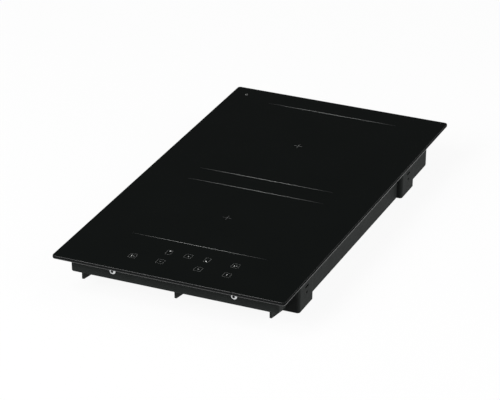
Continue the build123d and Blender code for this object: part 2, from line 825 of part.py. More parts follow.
bus_sites = [(component_x, y) for y in row_ys[3:]]
boxes("bus_capacitors", bus_sites, bus_width, bus_depth, board_top, part_height, 1.0)
film_sites = [(component_x + side * film_pitch / 2, y) for side in (-1, 1) for y in row_ys[1:3]]
boxes("resonance_capacitors", film_sites, film_width, film_depth, board_top, part_height, 1.0)
can_x = core_width / 2 + can_gap + can_radius
can_pitch = 2 * can_radius + can_gap
can_sites = [
    (component_x - can_x, row_ys[0] - can_pitch / 2),
    (component_x - can_x, row_ys[0] + can_pitch / 2),
    (component_x + can_x, row_ys[0]),
]
cans("electrolytic_capacitors", can_sites, can_radius, board_top, part_height)

with BuildPart() as transformer:
    core_height = part_height - 1.0
    with BuildSketch(Plane.XY.offset(board_top)):
        with Locations((component_x, row_ys[0])):
            Rectangle(core_width, core_depth)
    extrude(amount=core_height)
    with BuildSketch(Plane.XY.offset(board_top)):
        with Locations((component_x, row_ys[0])):
            Rectangle(bobbin_width, bobbin_depth)
    extrude(amount=core_height - 2.5)
write(transformer.part, "transformer")

# =========================================================================
# Filter board behind it, with the mains terminals next to the gland
# =========================================================================
terminal_poles = 5
pole_pitch = 10.0
block_depth = 16.0
block_height = 14.0
block_y = filter_board_rear - 2.0 - block_depth / 2
terminal_screw_radius = 2.4
terminal_well_radius = 3.0
terminal_well_depth = 5.0
choke_inset = 30.0  # from the board's left edge
choke_setback = 79.5  # from the board's rear edge
choke_x = filter_board_left + choke_inset
choke_y = filter_board_rear - choke_setback
filter_row_x = gland_x + 12.0
filter_part_width = 28.0
filter_part_depth = 13.0
filter_pitch = 26.0
fuse_length = 24.0
fuse_width = 8.0
fuse_height = 9.0
relay_height = 15.0
choke_core_radius = 17.0
choke_bore_radius = 9.0
choke_core_height = 11.0
choke_wire = 1.6
choke_arc = 130.0

board(
    "filter_board",
    filter_board_left,
    board_half,
    filter_board_front,
    filter_board_rear,
    filter_boss_sites,
    [(filter_board_left + 14.0, filter_board_front + 24.0, connector_depth, connector_width)],
)

with BuildPart() as terminal_block:
    with BuildSketch(Plane.XY.offset(board_top)):
        with Locations((gland_x, block_y)):
            Rectangle(terminal_poles * pole_pitch + 2.0, block_depth)
    extrude(amount=block_height)
    fillet(terminal_block.edges().group_by(Axis.Z)[-1], 0.8)
    with BuildSketch(Plane.XY.offset(board_top + block_height)):
        with Locations((gland_x, block_y)):
            with GridLocations(pole_pitch, 0, terminal_poles, 1):
                Circle(terminal_well_radius)
    extrude(amount=-terminal_well_depth, mode=Mode.SUBTRACT)
write(terminal_block.part, "terminal_block")

block_top = board_top + block_height
pole_sites = [
    (gland_x + (index - (terminal_poles - 1) / 2) * pole_pitch, block_y)
    for index in range(terminal_poles)
]
well_floor = block_top - terminal_well_depth
cans("terminal_screws", pole_sites, terminal_screw_radius, well_floor, terminal_well_depth - 1.5)

with BuildPart() as filter_choke:
    choke_middle = board_top + choke_wire + choke_core_height / 2
    with BuildSketch(Plane.XY.offset(board_top + choke_wire)):
        with Locations((choke_x, choke_y)):
            Circle(choke_core_radius)
            Circle(choke_bore_radius, mode=Mode.SUBTRACT)
    extrude(amount=choke_core_height)
    for start in (90 - choke_arc / 2, 270 - choke_arc / 2):
        cut = Plane(
            origin=(choke_x, choke_y, choke_middle),
            x_dir=Vector(1, 0, 0).rotate(Axis.Z, start),
            z_dir=Vector(0, -1, 0).rotate(Axis.Z, start),
        )
        with BuildSketch(cut):
            with Locations(((choke_core_radius + choke_bore_radius) / 2, 0)):
                RectangleRounded(
                    choke_core_radius - choke_bore_radius + 2 * choke_wire,
                    choke_core_height + 2 * choke_wire,
                    choke_wire,
                )
        revolve(axis=Axis((choke_x, choke_y, 0), (0, 0, 1)), revolution_arc=choke_arc)
write(filter_choke.part, "filter_choke")

filter_sites = [(filter_row_x, choke_y + step * filter_pitch) for step in (-1, 0, 1)]
line_cap_height = part_height - 1.0
boxes(
    "filter_capacitors", filter_sites, filter_part_width, filter_part_depth, board_top, line_cap_height, 1.0
)
fuse_site = (choke_x, choke_y - 2 * filter_pitch)
boxes("mains_fuse", [fuse_site], fuse_length, fuse_width, board_top, fuse_height, 2.0)
relay_site = (filter_row_x, choke_y - 2 * filter_pitch)
boxes("mains_relay", [relay_site], filter_part_width, filter_part_depth, board_top, relay_height, 0.6)

# =========================================================================
# Blower: scroll housing on the floor, outer-rotor motor hung from its cover
# =========================================================================
inlet_radius = 27.0
lug_height = 12.0
cover_bottom = part_top - scroll_wall
housing_floor_top = floor_level + scroll_wall
screw_recess = 0.3
screw_cone_clearance = 0.1

shaft_radius = 1.5
tube_radius = 4.0
tube_bore_radius = 2.6
tube_bottom = 10.0
tube_cap = 0.6
shaft_top_gap = 0.4
tube_bore_top = cover_bottom - tube_cap
bush_length = 3.0
bush_gap = 1.8
bush_level_low = tube_bottom
bush_level_high = tube_bore_top - bush_gap - bush_length

cup_radius = 15.5
cup_wall = 1.2
cup_level = 8.0
cup_boss_radius = 3.5
cup_boss_drop = 1.5
magnet_thickness = 1.3
magnet_bottom = 10.0
magnet_top = 21.0
stator_gap = 0.4
stator_slots = 9
stator_slot_width = 2.2
stator_bottom = 11.0
stator_top = 20.0
back_plate_gap = 1.2
back_plate_thickness = 1.2
blade_count = 22
blade_inner_radius = 27.5
blade_lead = 10.0  # degrees that the blade's tip runs ahead of its root
blade_thickness = 0.9
blade_floor_gap = 1.1
blade_bottom = housing_floor_top + blade_floor_gap
blade_ring_width = 2.0
blade_ring_height = 1.5


def scroll_outline(grow, mode=Mode.ADD):
    """Inside plan of the scroll and its outlet, moved outwards by grow."""
    step = scroll_growth
    left = blower_x - scroll_reach_left
    outlet_y = blower_y - outlet_reach
    with BuildSketch(mode=Mode.PRIVATE) as outline:
        with BuildLine():
            CenterArc((blower_x, blower_y), scroll_radius_1, -90, 90)
            CenterArc((blower_x - step, blower_y), scroll_radius_2, 0, 90)
            CenterArc((blower_x - step, blower_y - step), scroll_radius_3, 90, 90)
            Polyline(
                (left, blower_y - step),
                (left, outlet_y),
                (blower_x, outlet_y),
                (blower_x, blower_y - scroll_radius_1),
            )
        make_face()
        if grow > 0:
            offset(amount=grow, kind=Kind.INTERSECTION)
            with Locations(((left + blower_x) / 2, outlet_y - grow / 2)):
                Rectangle(blower_x - left + 2 * grow, grow, mode=Mode.SUBTRACT)
    add(outline.sketch, mode=mode)


with BuildPart() as blower_housing:
    with BuildSketch(Plane.XY.offset(floor_level)):
        scroll_outline(scroll_wall)
        with Locations(*lug_sites):
            Circle(lug_radius)
    extrude(amount=scroll_wall)
    with BuildSketch(Plane.XY.offset(floor_level)):
        scroll_outline(scroll_wall)
        scroll_outline(0, Mode.SUBTRACT)
    extrude(amount=cover_bottom - floor_level)
    with BuildSketch(Plane.XY.offset(floor_level)):
        with Locations(*lug_sites):
            Circle(lug_radius)
        scroll_outline(0, Mode.SUBTRACT)
    extrude(amount=lug_height)
    with BuildSketch(Plane.XY.offset(floor_level)):
        with Locations(*lug_sites):
            Circle(lug_bore_radius)
    extrude(amount=lug_height, mode=Mode.SUBTRACT)
    with BuildSketch(Plane.XY.offset(floor_level)):
        with Locations((blower_x, blower_y)):
            Circle(inlet_radius)
    extrude(amount=scroll_wall, mode=Mode.SUBTRACT)
write(blower_housing.part, "blower_housing")

with BuildPart() as blower_cover:
    with BuildSketch(Plane.XY.offset(cover_bottom)):
        scroll_outline(scroll_wall)
    extrude(amount=scroll_wall)
    with BuildSketch(Plane.XY.offset(tube_bottom)):
        with Locations((blower_x, blower_y)):
            Circle(tube_radius)
    extrude(amount=cover_bottom - tube_bottom)
    with BuildSketch(Plane.XY.offset(tube_bottom)):
        with Locations((blower_x, blower_y)):
            Circle(tube_bore_radius)
    extrude(amount=tube_bore_top - tube_bottom, mode=Mode.SUBTRACT)
write(blower_cover.part, "blower_cover")

with BuildPart() as blower_screws:
    with BuildSketch(Plane.XY.offset(screw_recess)):
        with Locations(*lug_sites):
            Circle(countersink_radius - screw_recess - screw_cone_clearance)
    cone_height = countersink_radius - screw_recess - screw_cone_clearance - blower_screw_radius
    extrude(amount=cone_height, taper=45)
    with BuildSketch(Plane.XY.offset(screw_recess)):
        with Locations(*lug_sites):
            Circle(blower_screw_radius)
    extrude(amount=blower_screw_length)
write(blower_screws.part, "blower_screws")

with BuildPart() as blower_bushes:
    for level in (bush_level_low, bush_level_high):
        with BuildSketch(Plane.XY.offset(level)):
            with Locations((blower_x, blower_y)):
                Circle(tube_bore_radius - running_clearance / 2)
                Circle(shaft_radius + running_clearance, mode=Mode.SUBTRACT)
        extrude(amount=bush_length)
write(blower_bushes.part, "blower_bushes")

with BuildPart() as blower_stator:
    stator_radius = cup_radius - cup_wall - magnet_thickness - stator_gap
    with BuildSketch(Plane.XY.offset(stator_bottom)):
        with Locations((blower_x, blower_y)):
            Circle(stator_radius)
            with PolarLocations(stator_radius - stator_slot_width, stator_slots):
                Rectangle(3 * stator_slot_width, stator_slot_width, mode=Mode.SUBTRACT)
            Circle(tube_radius, mode=Mode.SUBTRACT)
    extrude(amount=stator_top - stator_bottom)
write(blower_stator.part, "blower_stator")

with BuildPart() as blower_magnet:
    with BuildSketch(Plane.XY.offset(magnet_bottom)):
        with Locations((blower_x, blower_y)):
            Circle(cup_radius - cup_wall)
            Circle(cup_radius - cup_wall - magnet_thickness, mode=Mode.SUBTRACT)
    extrude(amount=magnet_top - magnet_bottom)
write(blower_magnet.part, "blower_magnet")

with BuildPart() as blower_impeller:
    back_plate_level = cover_bottom - back_plate_gap - back_plate_thickness
    with BuildSketch(Plane.XY.offset(back_plate_level)):
        with Locations((blower_x, blower_y)):
            Circle(impeller_radius)
            Circle(cup_radius - cup_wall, mode=Mode.SUBTRACT)
    extrude(amount=back_plate_thickness)
    with BuildSketch(Plane.XY.offset(cup_level)):
        with Locations((blower_x, blower_y)):
            Circle(cup_radius)
    extrude(amount=back_plate_level - cup_level)
    with BuildSketch(Plane.XY.offset(cup_level + cup_wall)):
        with Locations((blower_x, blower_y)):
            Circle(cup_radius - cup_wall)
    extrude(amount=back_plate_level - cup_level, mode=Mode.SUBTRACT)
    with BuildSketch(Plane.XY.offset(cup_level - cup_boss_drop)):
        with Locations((blower_x, blower_y)):
            Circle(cup_boss_radius)
    extrude(amount=cup_boss_drop)
    with BuildSketch(Plane.XY.offset(blade_bottom)):
        with Locations((blower_x, blower_y)):
            Circle(impeller_radius)
            Circle(impeller_radius - blade_ring_width, mode=Mode.SUBTRACT)
    extrude(amount=blade_ring_height)
    with BuildSketch(mode=Mode.PRIVATE) as blade:
        with BuildLine():
            tip_radius = impeller_radius - blade_thickness
            middle_radius = (blade_inner_radius + tip_radius) / 2
            root = Vector(blade_inner_radius, 0)
            middle = Vector(middle_radius, 0).rotate(Axis.Z, blade_lead * 0.25)
            tip = Vector(tip_radius, 0).rotate(Axis.Z, blade_lead)
            ThreePointArc(root, middle, tip)
        trace(line_width=blade_thickness)
    with BuildSketch(Plane((blower_x, blower_y, blade_bottom))):
        with PolarLocations(0, blade_count):
            add(blade.sketch)
    extrude(amount=back_plate_level - blade_bottom)
    with BuildSketch(Plane.XY.offset(cup_level - cup_boss_drop)):
        with Locations((blower_x, blower_y)):
            Circle(shaft_radius)
    extrude(amount=cup_boss_drop + cup_wall, mode=Mode.SUBTRACT)
write(blower_impeller.part, "blower_impeller")

with BuildPart() as blower_shaft:
    with BuildSketch(Plane.XY.offset(cup_level - cup_boss_drop)):
        with Locations((blower_x, blower_y)):
            Circle(shaft_radius)
    extrude(amount=tube_bore_top - shaft_top_gap - cup_level + cup_boss_drop)
write(blower_shaft.part, "blower_shaft")

# =========================================================================
# Guard in the air inlet, and the cable gland with its clamp
# =========================================================================
guard_gap = 0.2
guard_rise = 0.2
guard_rim_overlap = 2.0
guard_ring_pitch = 5.0
guard_ring_width = 1.5
guard_ring_count = 5
guard_spokes = 6
guard_spoke_width = 2.0

with BuildPart() as fan_guard:
    with BuildSketch(Plane.XY.offset(floor_level - guard_seat_depth)):
        with Locations((blower_x, blower_y)):
            Circle(guard_seat_radius - guard_gap)
            Circle(guard_opening_radius - guard_rim_overlap, mode=Mode.SUBTRACT)
    extrude(amount=guard_seat_depth)
    with BuildSketch(Plane.XY.offset(guard_rise)):
        with Locations((blower_x, blower_y)):
            for ring in range(guard_ring_count):
                outer = guard_opening_radius - guard_gap - ring * guard_ring_pitch
                Circle(outer)
                Circle(outer - guard_ring_width, mode=Mode.SUBTRACT)
            Circle(outer - guard_ring_pitch)
            with PolarLocations(guard_opening_radius / 2, guard_spokes):
                Rectangle(guard_opening_radius - guard_ring_width, guard_spoke_width)
    extrude(amount=floor_level - guard_rise)
write(fan_guard.part, "fan_guard")

gland_flange_thickness = 2.5
gland_nut_thickness = 4.0
gland_nut_radius = 11.0  # half across the flats
gland_run = gland_seat_y - inner_rear + gland_nut_thickness
inner_seat_y = inner_rear + (gland_level - gland_nut_radius) * draft_slope

with BuildPart() as cable_gland:
    with BuildSketch(outward_plane(gland_x, gland_seat_y, gland_level, Vector(0, 1, 0))):
        Circle(gland_flange_radius)
    extrude(amount=gland_flange_thickness)
    fillet(cable_gland.edges().group_by(Axis.Y)[-1], 0.8)
    with BuildSketch(outward_plane(gland_x, gland_seat_y, gland_level, Vector(0, 1, 0))):
        Circle(gland_body_radius)
    extrude(amount=-gland_run)
    with BuildSketch(outward_plane(gland_x, gland_seat_y, gland_level, Vector(0, 1, 0))):
        Circle(cord_radius)
    extrude(amount=gland_flange_thickness, mode=Mode.SUBTRACT)
    with BuildSketch(outward_plane(gland_x, gland_seat_y, gland_level, Vector(0, 1, 0))):
        Circle(cord_radius)
    extrude(amount=-gland_run, mode=Mode.SUBTRACT)
write(cable_gland.part, "cable_gland")

with BuildPart() as gland_nut:
    with BuildSketch(outward_plane(gland_x, inner_seat_y, gland_level, Vector(0, 1, 0))):
        RegularPolygon(gland_nut_radius, 6, major_radius=False)
        Circle(gland_body_radius + running_clearance, mode=Mode.SUBTRACT)
    extrude(amount=-gland_nut_thickness)
write(gland_nut.part, "gland_nut")

clamp_bar_width = 7.0
clamp_bar_height = 5.0
clamp_bar_half = clamp_pitch_half + clamp_boss_radius

with BuildPart() as cord_clamp:
    with BuildSketch(Plane((gland_x, clamp_y, clamp_boss_level), (1, 0, 0), (0, -1, 0))):
        with Locations((0, clamp_bar_height / 2)):
            Rectangle(2 * clamp_bar_half, clamp_bar_height)
        with Locations((0, gland_level - clamp_boss_level)):
            Circle(cord_radius, mode=Mode.SUBTRACT)
    extrude(amount=clamp_bar_width / 2, both=True)
    fillet(cord_clamp.edges().filter_by(Axis.Y).group_by(Axis.Z)[-1], 1.5)
    with BuildSketch(Plane.XY.offset(clamp_boss_level)):
        with Locations(*clamp_boss_sites):
            Circle(post_bore_radius + hole_clearance)
    extrude(amount=clamp_bar_height, mode=Mode.SUBTRACT)
write(cord_clamp.part, "cord_clamp")

clamp_seats = [Plane(origin=(x, y, clamp_boss_level + clamp_bar_height)) for x, y in clamp_boss_sites]
clamp_screw_length = clamp_bar_height + post_bore_depth - 2.0
screw_set(
    "clamp_screws", clamp_seats, small_head_radius, small_head_height, small_screw_radius, clamp_screw_length
)

# =========================================================================
# Touch controls in the front tray
# =========================================================================
holder_half = 72.0
holder_wall = 1.5
holder_front = tray_front + 6.0
holder_rear = deep_front - 1.5
holder_height = 11.7
control_top = tray_floor + holder_height
control_board_half = holder_half - 1.0
control_board_front = holder_front + 1.0
control_board_rear = deep_front + 6.5
upper_row_setback = 41.0
lower_row_setback = 17.0
inner_key_x = 24.0
outer_key_x = 59.0
upper_row_y = tray_front + upper_row_setback
lower_row_y = tray_front + lower_row_setback
pad_radius = 4.5
pad_bore_radius = 2.0
pad_sites = [(x, upper_row_y) for x in (-inner_key_x, 0.0, inner_key_x, outer_key_x)]
pad_sites += [(x, lower_row_y) for x in (-outer_key_x, -inner_key_x, inner_key_x, outer_key_x)]
display_width = 13.0
display_depth = 18.0
display_x = 42.0
display_glass_gap = 0.3
ribbon_width = 22.0
ribbon_thickness = 1.0
ribbon_bend = 3.0

with BuildPart() as control_holder:
    holder_middle = (holder_front + holder_rear) / 2
    with BuildSketch(Plane.XY.offset(tray_floor)):
        with Locations((0, holder_middle)):
            RectangleRounded(2 * holder_half, holder_rear - holder_front, 3.0)
    extrude(amount=holder_height)
    with BuildSketch(Plane.XY.offset(tray_floor + holder_wall)):
        with Locations((0, holder_middle)):
            RectangleRounded(
                2 * (holder_half - holder_wall), holder_rear - holder_front - 2 * holder_wall, 1.5
            )
    extrude(amount=holder_height, mode=Mode.SUBTRACT)
write(control_holder.part, "control_holder")

with BuildPart() as control_board:
    ribbon_y = control_board_rear - connector_depth / 2 - 0.5
    with BuildSketch(Plane.XY.offset(control_top)):
        with Locations((0, (control_board_front + control_board_rear) / 2)):
            Rectangle(2 * control_board_half, control_board_rear - control_board_front)
    extrude(amount=board_thickness)
    with BuildSketch(Plane.XY.offset(control_top)):
        with Locations((0, ribbon_y)):
            Rectangle(connector_width, connector_depth)
    extrude(amount=-connector_height)
write(control_board.part, "control_board")

pad_foot = control_top + board_thickness
with BuildPart() as touch_pads:
    with BuildSketch(Plane.XY.offset(pad_foot)):
        with Locations(*pad_sites):
            Circle(pad_radius)
            Circle(pad_bore_radius, mode=Mode.SUBTRACT)
    extrude(amount=glass_bottom - pad_foot)
write(touch_pads.part, "touch_pads")

display_sites = [(side * display_x, (upper_row_y + lower_row_y) / 2) for side in (-1, 1)]
display_height = glass_bottom - display_glass_gap - pad_foot
boxes("segment_displays", display_sites, display_width, display_depth, pad_foot, display_height, 0.4)

with BuildPart() as ribbon_cable:
    ribbon_top = control_top - connector_height
    ribbon_foot = board_top + connector_height
    ribbon_turn = (ribbon_top + ribbon_foot) / 2
    with BuildSketch(Plane.YZ):
        with BuildLine():
            FilletPolyline(
                (ribbon_y, ribbon_top),
                (ribbon_y, ribbon_turn),
                (connector_y, ribbon_turn),
                (connector_y, ribbon_foot),
                radius=ribbon_bend,
            )
        trace(line_width=ribbon_thickness)
    extrude(amount=ribbon_width / 2, both=True)
write(ribbon_cable.part, "ribbon_cable")
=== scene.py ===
import math

import bpy
import numpy as np
from mathutils import Matrix, Vector


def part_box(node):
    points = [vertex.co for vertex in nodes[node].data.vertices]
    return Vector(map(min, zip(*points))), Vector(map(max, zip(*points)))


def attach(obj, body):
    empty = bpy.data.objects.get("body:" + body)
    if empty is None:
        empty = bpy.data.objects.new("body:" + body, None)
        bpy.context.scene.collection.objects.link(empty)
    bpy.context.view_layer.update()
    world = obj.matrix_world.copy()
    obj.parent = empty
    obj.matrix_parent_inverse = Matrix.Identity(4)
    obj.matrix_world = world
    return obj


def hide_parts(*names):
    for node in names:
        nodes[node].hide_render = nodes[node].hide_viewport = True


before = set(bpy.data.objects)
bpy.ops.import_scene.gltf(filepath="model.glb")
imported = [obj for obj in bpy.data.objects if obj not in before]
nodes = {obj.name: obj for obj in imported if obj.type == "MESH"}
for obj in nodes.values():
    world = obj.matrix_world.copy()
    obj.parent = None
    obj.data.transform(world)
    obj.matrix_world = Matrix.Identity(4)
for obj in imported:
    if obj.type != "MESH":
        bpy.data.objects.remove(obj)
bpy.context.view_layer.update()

# =========================================================================
# Camera: a long lens, well above the hob and to the right of its front.
# The hob lies on the ground on the underside of its case.
# =========================================================================
glass_low, glass_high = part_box("glass_plate")
camera_distance = 3.1717
camera_azimuth = math.radians(24.0005)
camera_elevation = math.radians(26.157)
camera_roll = math.radians(-0.1687)
camera_slide = (-0.01158, -0.01701)
lens_mm = 191.107
sensor_mm = 36.0

back = Vector(
    (
        math.sin(camera_azimuth) * math.cos(camera_elevation),
        -math.cos(camera_azimuth) * math.cos(camera_elevation),
        math.sin(camera_elevation),
    )
)
level_right = (-back).cross(Vector((0, 0, 1))).normalized()
level_up = level_right.cross(-back)
right = math.cos(camera_roll) * level_right + math.sin(camera_roll) * level_up
up = math.cos(camera_roll) * level_up - math.sin(camera_roll) * level_right
target = Vector((0, 0, glass_high.z))
place = target + back * camera_distance + right * camera_slide[0] + up * camera_slide[1]

lens = bpy.data.cameras.new("camera")
lens.lens = lens_mm
lens.sensor_width = sensor_mm
lens.clip_start = 0.1
lens.clip_end = 60.0
camera = bpy.data.objects.new("camera", lens)
camera.matrix_world = Matrix.Translation(place) @ Matrix((right, up, back)).transposed().to_4x4()
bpy.context.scene.collection.objects.link(camera)
bpy.context.scene.camera = camera

# =========================================================================
# Studio: a white floor that keeps the hob's shadow, a low white backdrop all
# round with a dark room above it, and four soft lamps.
# =========================================================================
floor_half = 12.0
floor_level = -0.0004
floor_glow = 0.92  # the rest of the floor's white is light that falls on it
backdrop_top = 0.14  # sine of the elevation where the backdrop ends
backdrop_fade = 0.2
room_light = 0.14
dark_room = 0.031


def linear(hex_colour):
    """An sRGB hex colour as linear red, green, blue and alpha 1."""
    channels = [int(hex_colour[i : i + 2], 16) / 255 for i in (1, 3, 5)]
    return [c / 12.92 if c <= 0.04045 else ((c + 0.055) / 1.055) ** 2.4 for c in channels] + [1.0]


def add(tree, kind, inputs=None, **settings):
    """Add a node. Inputs, by name or number, take a value or another node's output."""
    node = tree.nodes.new(kind)
    for name, value in settings.items():
        setattr(node, name, value)
    for name, value in (inputs or {}).items():
        if isinstance(value, bpy.types.NodeSocket):
            tree.links.new(value, node.inputs[name])
        else:
            node.inputs[name].default_value = value
    return node


def empty_tree(owner):
    """The node tree of a material or world, with nothing in it."""
    owner.use_nodes = True
    owner.node_tree.nodes.clear()
    return owner.node_tree


def seen_rays(tree):
    """1 for camera, glossy and transmission rays, which show the white studio, else 0."""
    path = add(tree, "ShaderNodeLightPath").outputs
    seen = path["Is Camera Ray"]
    for ray in ("Is Glossy Ray", "Is Transmission Ray"):
        either = {0: seen, 1: path[ray]}
        seen = add(tree, "ShaderNodeMath", either, operation="MAXIMUM").outputs[0]
    return seen


world = bpy.data.worlds.new("studio")
bpy.context.scene.world = world
tree = empty_tree(world)
direction = add(tree, "ShaderNodeTexCoord").outputs["Generated"]
rise = add(tree, "ShaderNodeSeparateXYZ", {0: direction}).outputs["Z"]
fade = {
    "Value": rise,
    "From Min": backdrop_top,
    "From Max": backdrop_top + backdrop_fade,
    "To Min": 1.0,
    "To Max": dark_room,
}
fade = add(tree, "ShaderNodeMapRange", fade).outputs[0]
shown = add(tree, "ShaderNodeBackground", {"Color": fade, "Strength": 1.0})
ambient = {"Color": linear("#ffffff"), "Strength": room_light}
ambient = add(tree, "ShaderNodeBackground", ambient)
studio = {0: seen_rays(tree), 1: ambient.outputs[0], 2: shown.outputs[0]}
studio = add(tree, "ShaderNodeMixShader", studio)
add(tree, "ShaderNodeOutputWorld", {"Surface": studio.outputs[0]})

bpy.context.scene.view_settings.view_transform = "Standard"

floor_mesh = bpy.data.meshes.new("studio_floor")
square = [(-1, -1), (1, -1), (1, 1), (-1, 1)]
corners = [(x * floor_half, y * floor_half, floor_level) for x, y in square]
floor_mesh.from_pydata(corners, [], [(0, 1, 2, 3)])
floor = bpy.data.objects.new("studio_floor", floor_mesh)
bpy.context.scene.collection.objects.link(floor)
floor_paint = bpy.data.materials.new("white_studio_floor")
tree = empty_tree(floor_paint)
seen = seen_rays(tree)
# The grey is what the floor throws up at the hob, and the near white is what is seen of it.
paint = {0: seen, 6: linear("#8a8a8a"), 7: linear("#f4f4f4")}
paint = add(tree, "ShaderNodeMix", paint, data_type="RGBA").outputs[2]
matt = add(tree, "ShaderNodeBsdfDiffuse", {"Color": paint})
glow = add(tree, "ShaderNodeEmission", {"Color": linear("#ffffff"), "Strength": 1.0})
share = add(tree, "ShaderNodeMath", {0: seen, 1: floor_glow}, operation="MULTIPLY")
white = {0: share.outputs[0], 1: matt.outputs[0], 2: glow.outputs[0]}
white = add(tree, "ShaderNodeMixShader", white)
add(tree, "ShaderNodeOutputMaterial", {"Surface": white.outputs[0]})
floor_mesh.materials.append(floor_paint)


def soft_lamp(name, place, size, power, mirrored=False):
    """A square soft lamp at place, aimed at the hob; a glossy surface mirrors it or not."""
    light = bpy.data.lights.new(name, "AREA")
    light.size = size
    light.energy = power
    lamp = bpy.data.objects.new(name, light)
    turn = Vector(place).to_track_quat("Z", "Y").to_matrix().to_4x4()
    lamp.matrix_world = Matrix.Translation(place) @ turn
    lamp.visible_glossy = mirrored
    bpy.context.scene.collection.objects.link(lamp)


# Only the top lamp is mirrored: it draws the bright line along the plate's front edge.
soft_lamp("right_lamp", (2.5, -0.2, 1.2), 2.2, 36.0)
soft_lamp("front_lamp", (-1.4, -2.4, 1.7), 1.6, 72.0)
soft_lamp("top_lamp", (-1.0, -1.3, 2.4), 1.3, 30.0, mirrored=True)
soft_lamp("rear_lamp", (0.9, 1.7, 2.6), 1.2, 11.0)

# =========================================================================
# Cooktop plate: black glass-ceramic, drawn and ceramised in the sheet, cut to
# size, its corners rounded, its edge ground slightly round between two arrises.
# =========================================================================
mm = 0.001
print_rise = 0.02 * mm  # the ink's thickness, by which the glass lies lower
glass_arris = 0.35 * mm
glass_corner = 4.0 * mm
arris_ease = 0.12 * mm
edge_bulge = 0.2 * mm
flat_face = 0.999  # the normal's z, up or down, from which a face lies flat
ground_face = (-0.12, 0.3)  # the normal's z on the ground edge, between the arrises


def start(name, **surface):
    """A new material, its tree, its Principled shader and its Object coordinates."""
    material = bpy.data.materials.new(name)
    tree = empty_tree(material)
    inputs = {word.replace("_", " "): value for word, value in surface.items()}
    shader = add(tree, "ShaderNodeBsdfPrincipled", inputs)
    add(tree, "ShaderNodeOutputMaterial", {"Surface": shader.outputs[0]})
    return material, tree, shader, add(tree, "ShaderNodeTexCoord").outputs["Object"]


def finish(tree, shader, tone, gloss, relief):
    """Give the shader its colour, roughness and relief, from the inputs of a colour mix, of a
    range for the roughness and of a bump."""
    tone = add(tree, "ShaderNodeMix", tone, data_type="RGBA")
    gloss = add(tree, "ShaderNodeMapRange", gloss)
    relief = add(tree, "ShaderNodeBump", relief)
    tree.links.new(tone.outputs[2], shader.inputs["Base Color"])
    tree.links.new(gloss.outputs[0], shader.inputs["Roughness"])
    tree.links.new(relief.outputs[0], shader.inputs["Normal"])


def black_glass_ceramic():
    """Beta-quartz glass-ceramic coloured through: nearly black, hard and glossy, with the slow
    waviness of drawn glass and a roughness that changes a little where hands wiped it."""
    material, tree, shader, here = start("black_glass_ceramic", IOR=1.53)
    smear = {"Vector": here, "Scale": 1 / (60 * mm), "Detail": 3.0}
    smear = add(tree, "ShaderNodeTexNoise", smear).outputs[0]
    wave = {"Vector": here, "Scale": 1 / (25 * mm), "Detail": 0.0}
    wave = add(tree, "ShaderNodeTexNoise", wave).outputs[0]
    tone = {0: smear, 6: linear("#090c0b"), 7: linear("#0c0f0e")}
    gloss = {"Value": smear, "To Min": 0.045, "To Max": 0.085}
    relief = {"Height": wave, "Strength": 0.15, "Distance": 0.02 * mm}
    finish(tree, shader, tone, gloss, relief)
    return material


def edge_glass(name, shine):
    """The plate's edge: the same black glass, with scratches along the edge, drawn coarser than
    a grinding wheel leaves them so that they show."""
    material, tree, shader, here = start(name, IOR=1.53, Specular_IOR_Level=shine)
    squash = {"Vector": here, "Scale": (0.06 / mm, 0.06 / mm, 9 / mm)}
    squash = add(tree, "ShaderNodeMapping", squash).outputs[0]
    lines = {"Vector": squash, "Scale": 1.0, "Detail": 2.0}
    lines = add(tree, "ShaderNodeTexNoise", lines).outputs[0]
    tone = {0: lines, 6: linear("#181919"), 7: linear("#232424")}
    gloss = {"Value": lines, "To Min": 0.14, "To Max": 0.28}
    relief = {"Height": lines, "Strength": 0.3, "Distance": 0.02 * mm}
    finish(tree, shader, tone, gloss, relief)
    return material


def rounded_outline(half_x, half_y, radius, steps):
    """Points round a rectangle with round corners: each corner's centre plus radius times
    (cos, sin) of angles through its quarter turn."""
    turn = np.linspace(0, np.pi / 2, steps)
    sides = np.array([(1, 1), (-1, 1), (-1, -1), (1, -1)])
    angles = turn[None, :] + np.arange(4)[:, None] * np.pi / 2
    centres = sides * (half_x - radius, half_y - radius)
    points = centres[:, None, :] + radius * np.stack([np.cos(angles), np.sin(angles)], -1)
    return points.reshape(-1, 2)


def closed_skin(rings):
    """Vertices and faces of a skin over rings of points, each ring closed on itself and running
    anticlockwise about the direction the rings follow; a fan closes the first and last ring."""
    rows, columns = rings.shape[:2]
    vertices = np.concatenate([rings.reshape(-1, 3), rings[:1].mean(1), rings[-1:].mean(1)])
    here = np.arange(rows * columns).reshape(rows, columns)
    beside = np.roll(here, -1, axis=1)
    quads = np.stack([here[:-1], beside[:-1], beside[1:], here[1:]], -1).reshape(-1, 4)
    foot = np.full(columns, rows * columns)
    first = np.stack([foot, beside[0], here[0]], -1)
    last = np.stack([foot + 1, here[-1], beside[-1]], -1)
    return vertices, quads.tolist() + first.tolist() + last.tolist()


def make_piece(name, shapes, material, replaced=(), sharp_angle=35.0):
    """One object from several (vertices, faces) shapes, smooth apart from its sharp edges."""
    vertices = np.concatenate([vertices for vertices, _ in shapes])
    faces, first = [], 0
    for points, part in shapes:
        faces += [[i + first for i in face] for face in part]
        first += len(points)
    mesh = bpy.data.meshes.new(name)
    mesh.from_pydata(vertices.tolist(), [], faces)
    mesh.shade_smooth()
    mesh.set_sharp_from_angle(angle=math.radians(sharp_angle))
    mesh.materials.append(material)
    piece = bpy.data.objects.new(name, mesh)
    bpy.context.scene.collection.objects.link(piece)
    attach(piece, "hob")
    if replaced:
        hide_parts(*replaced)
    return piece


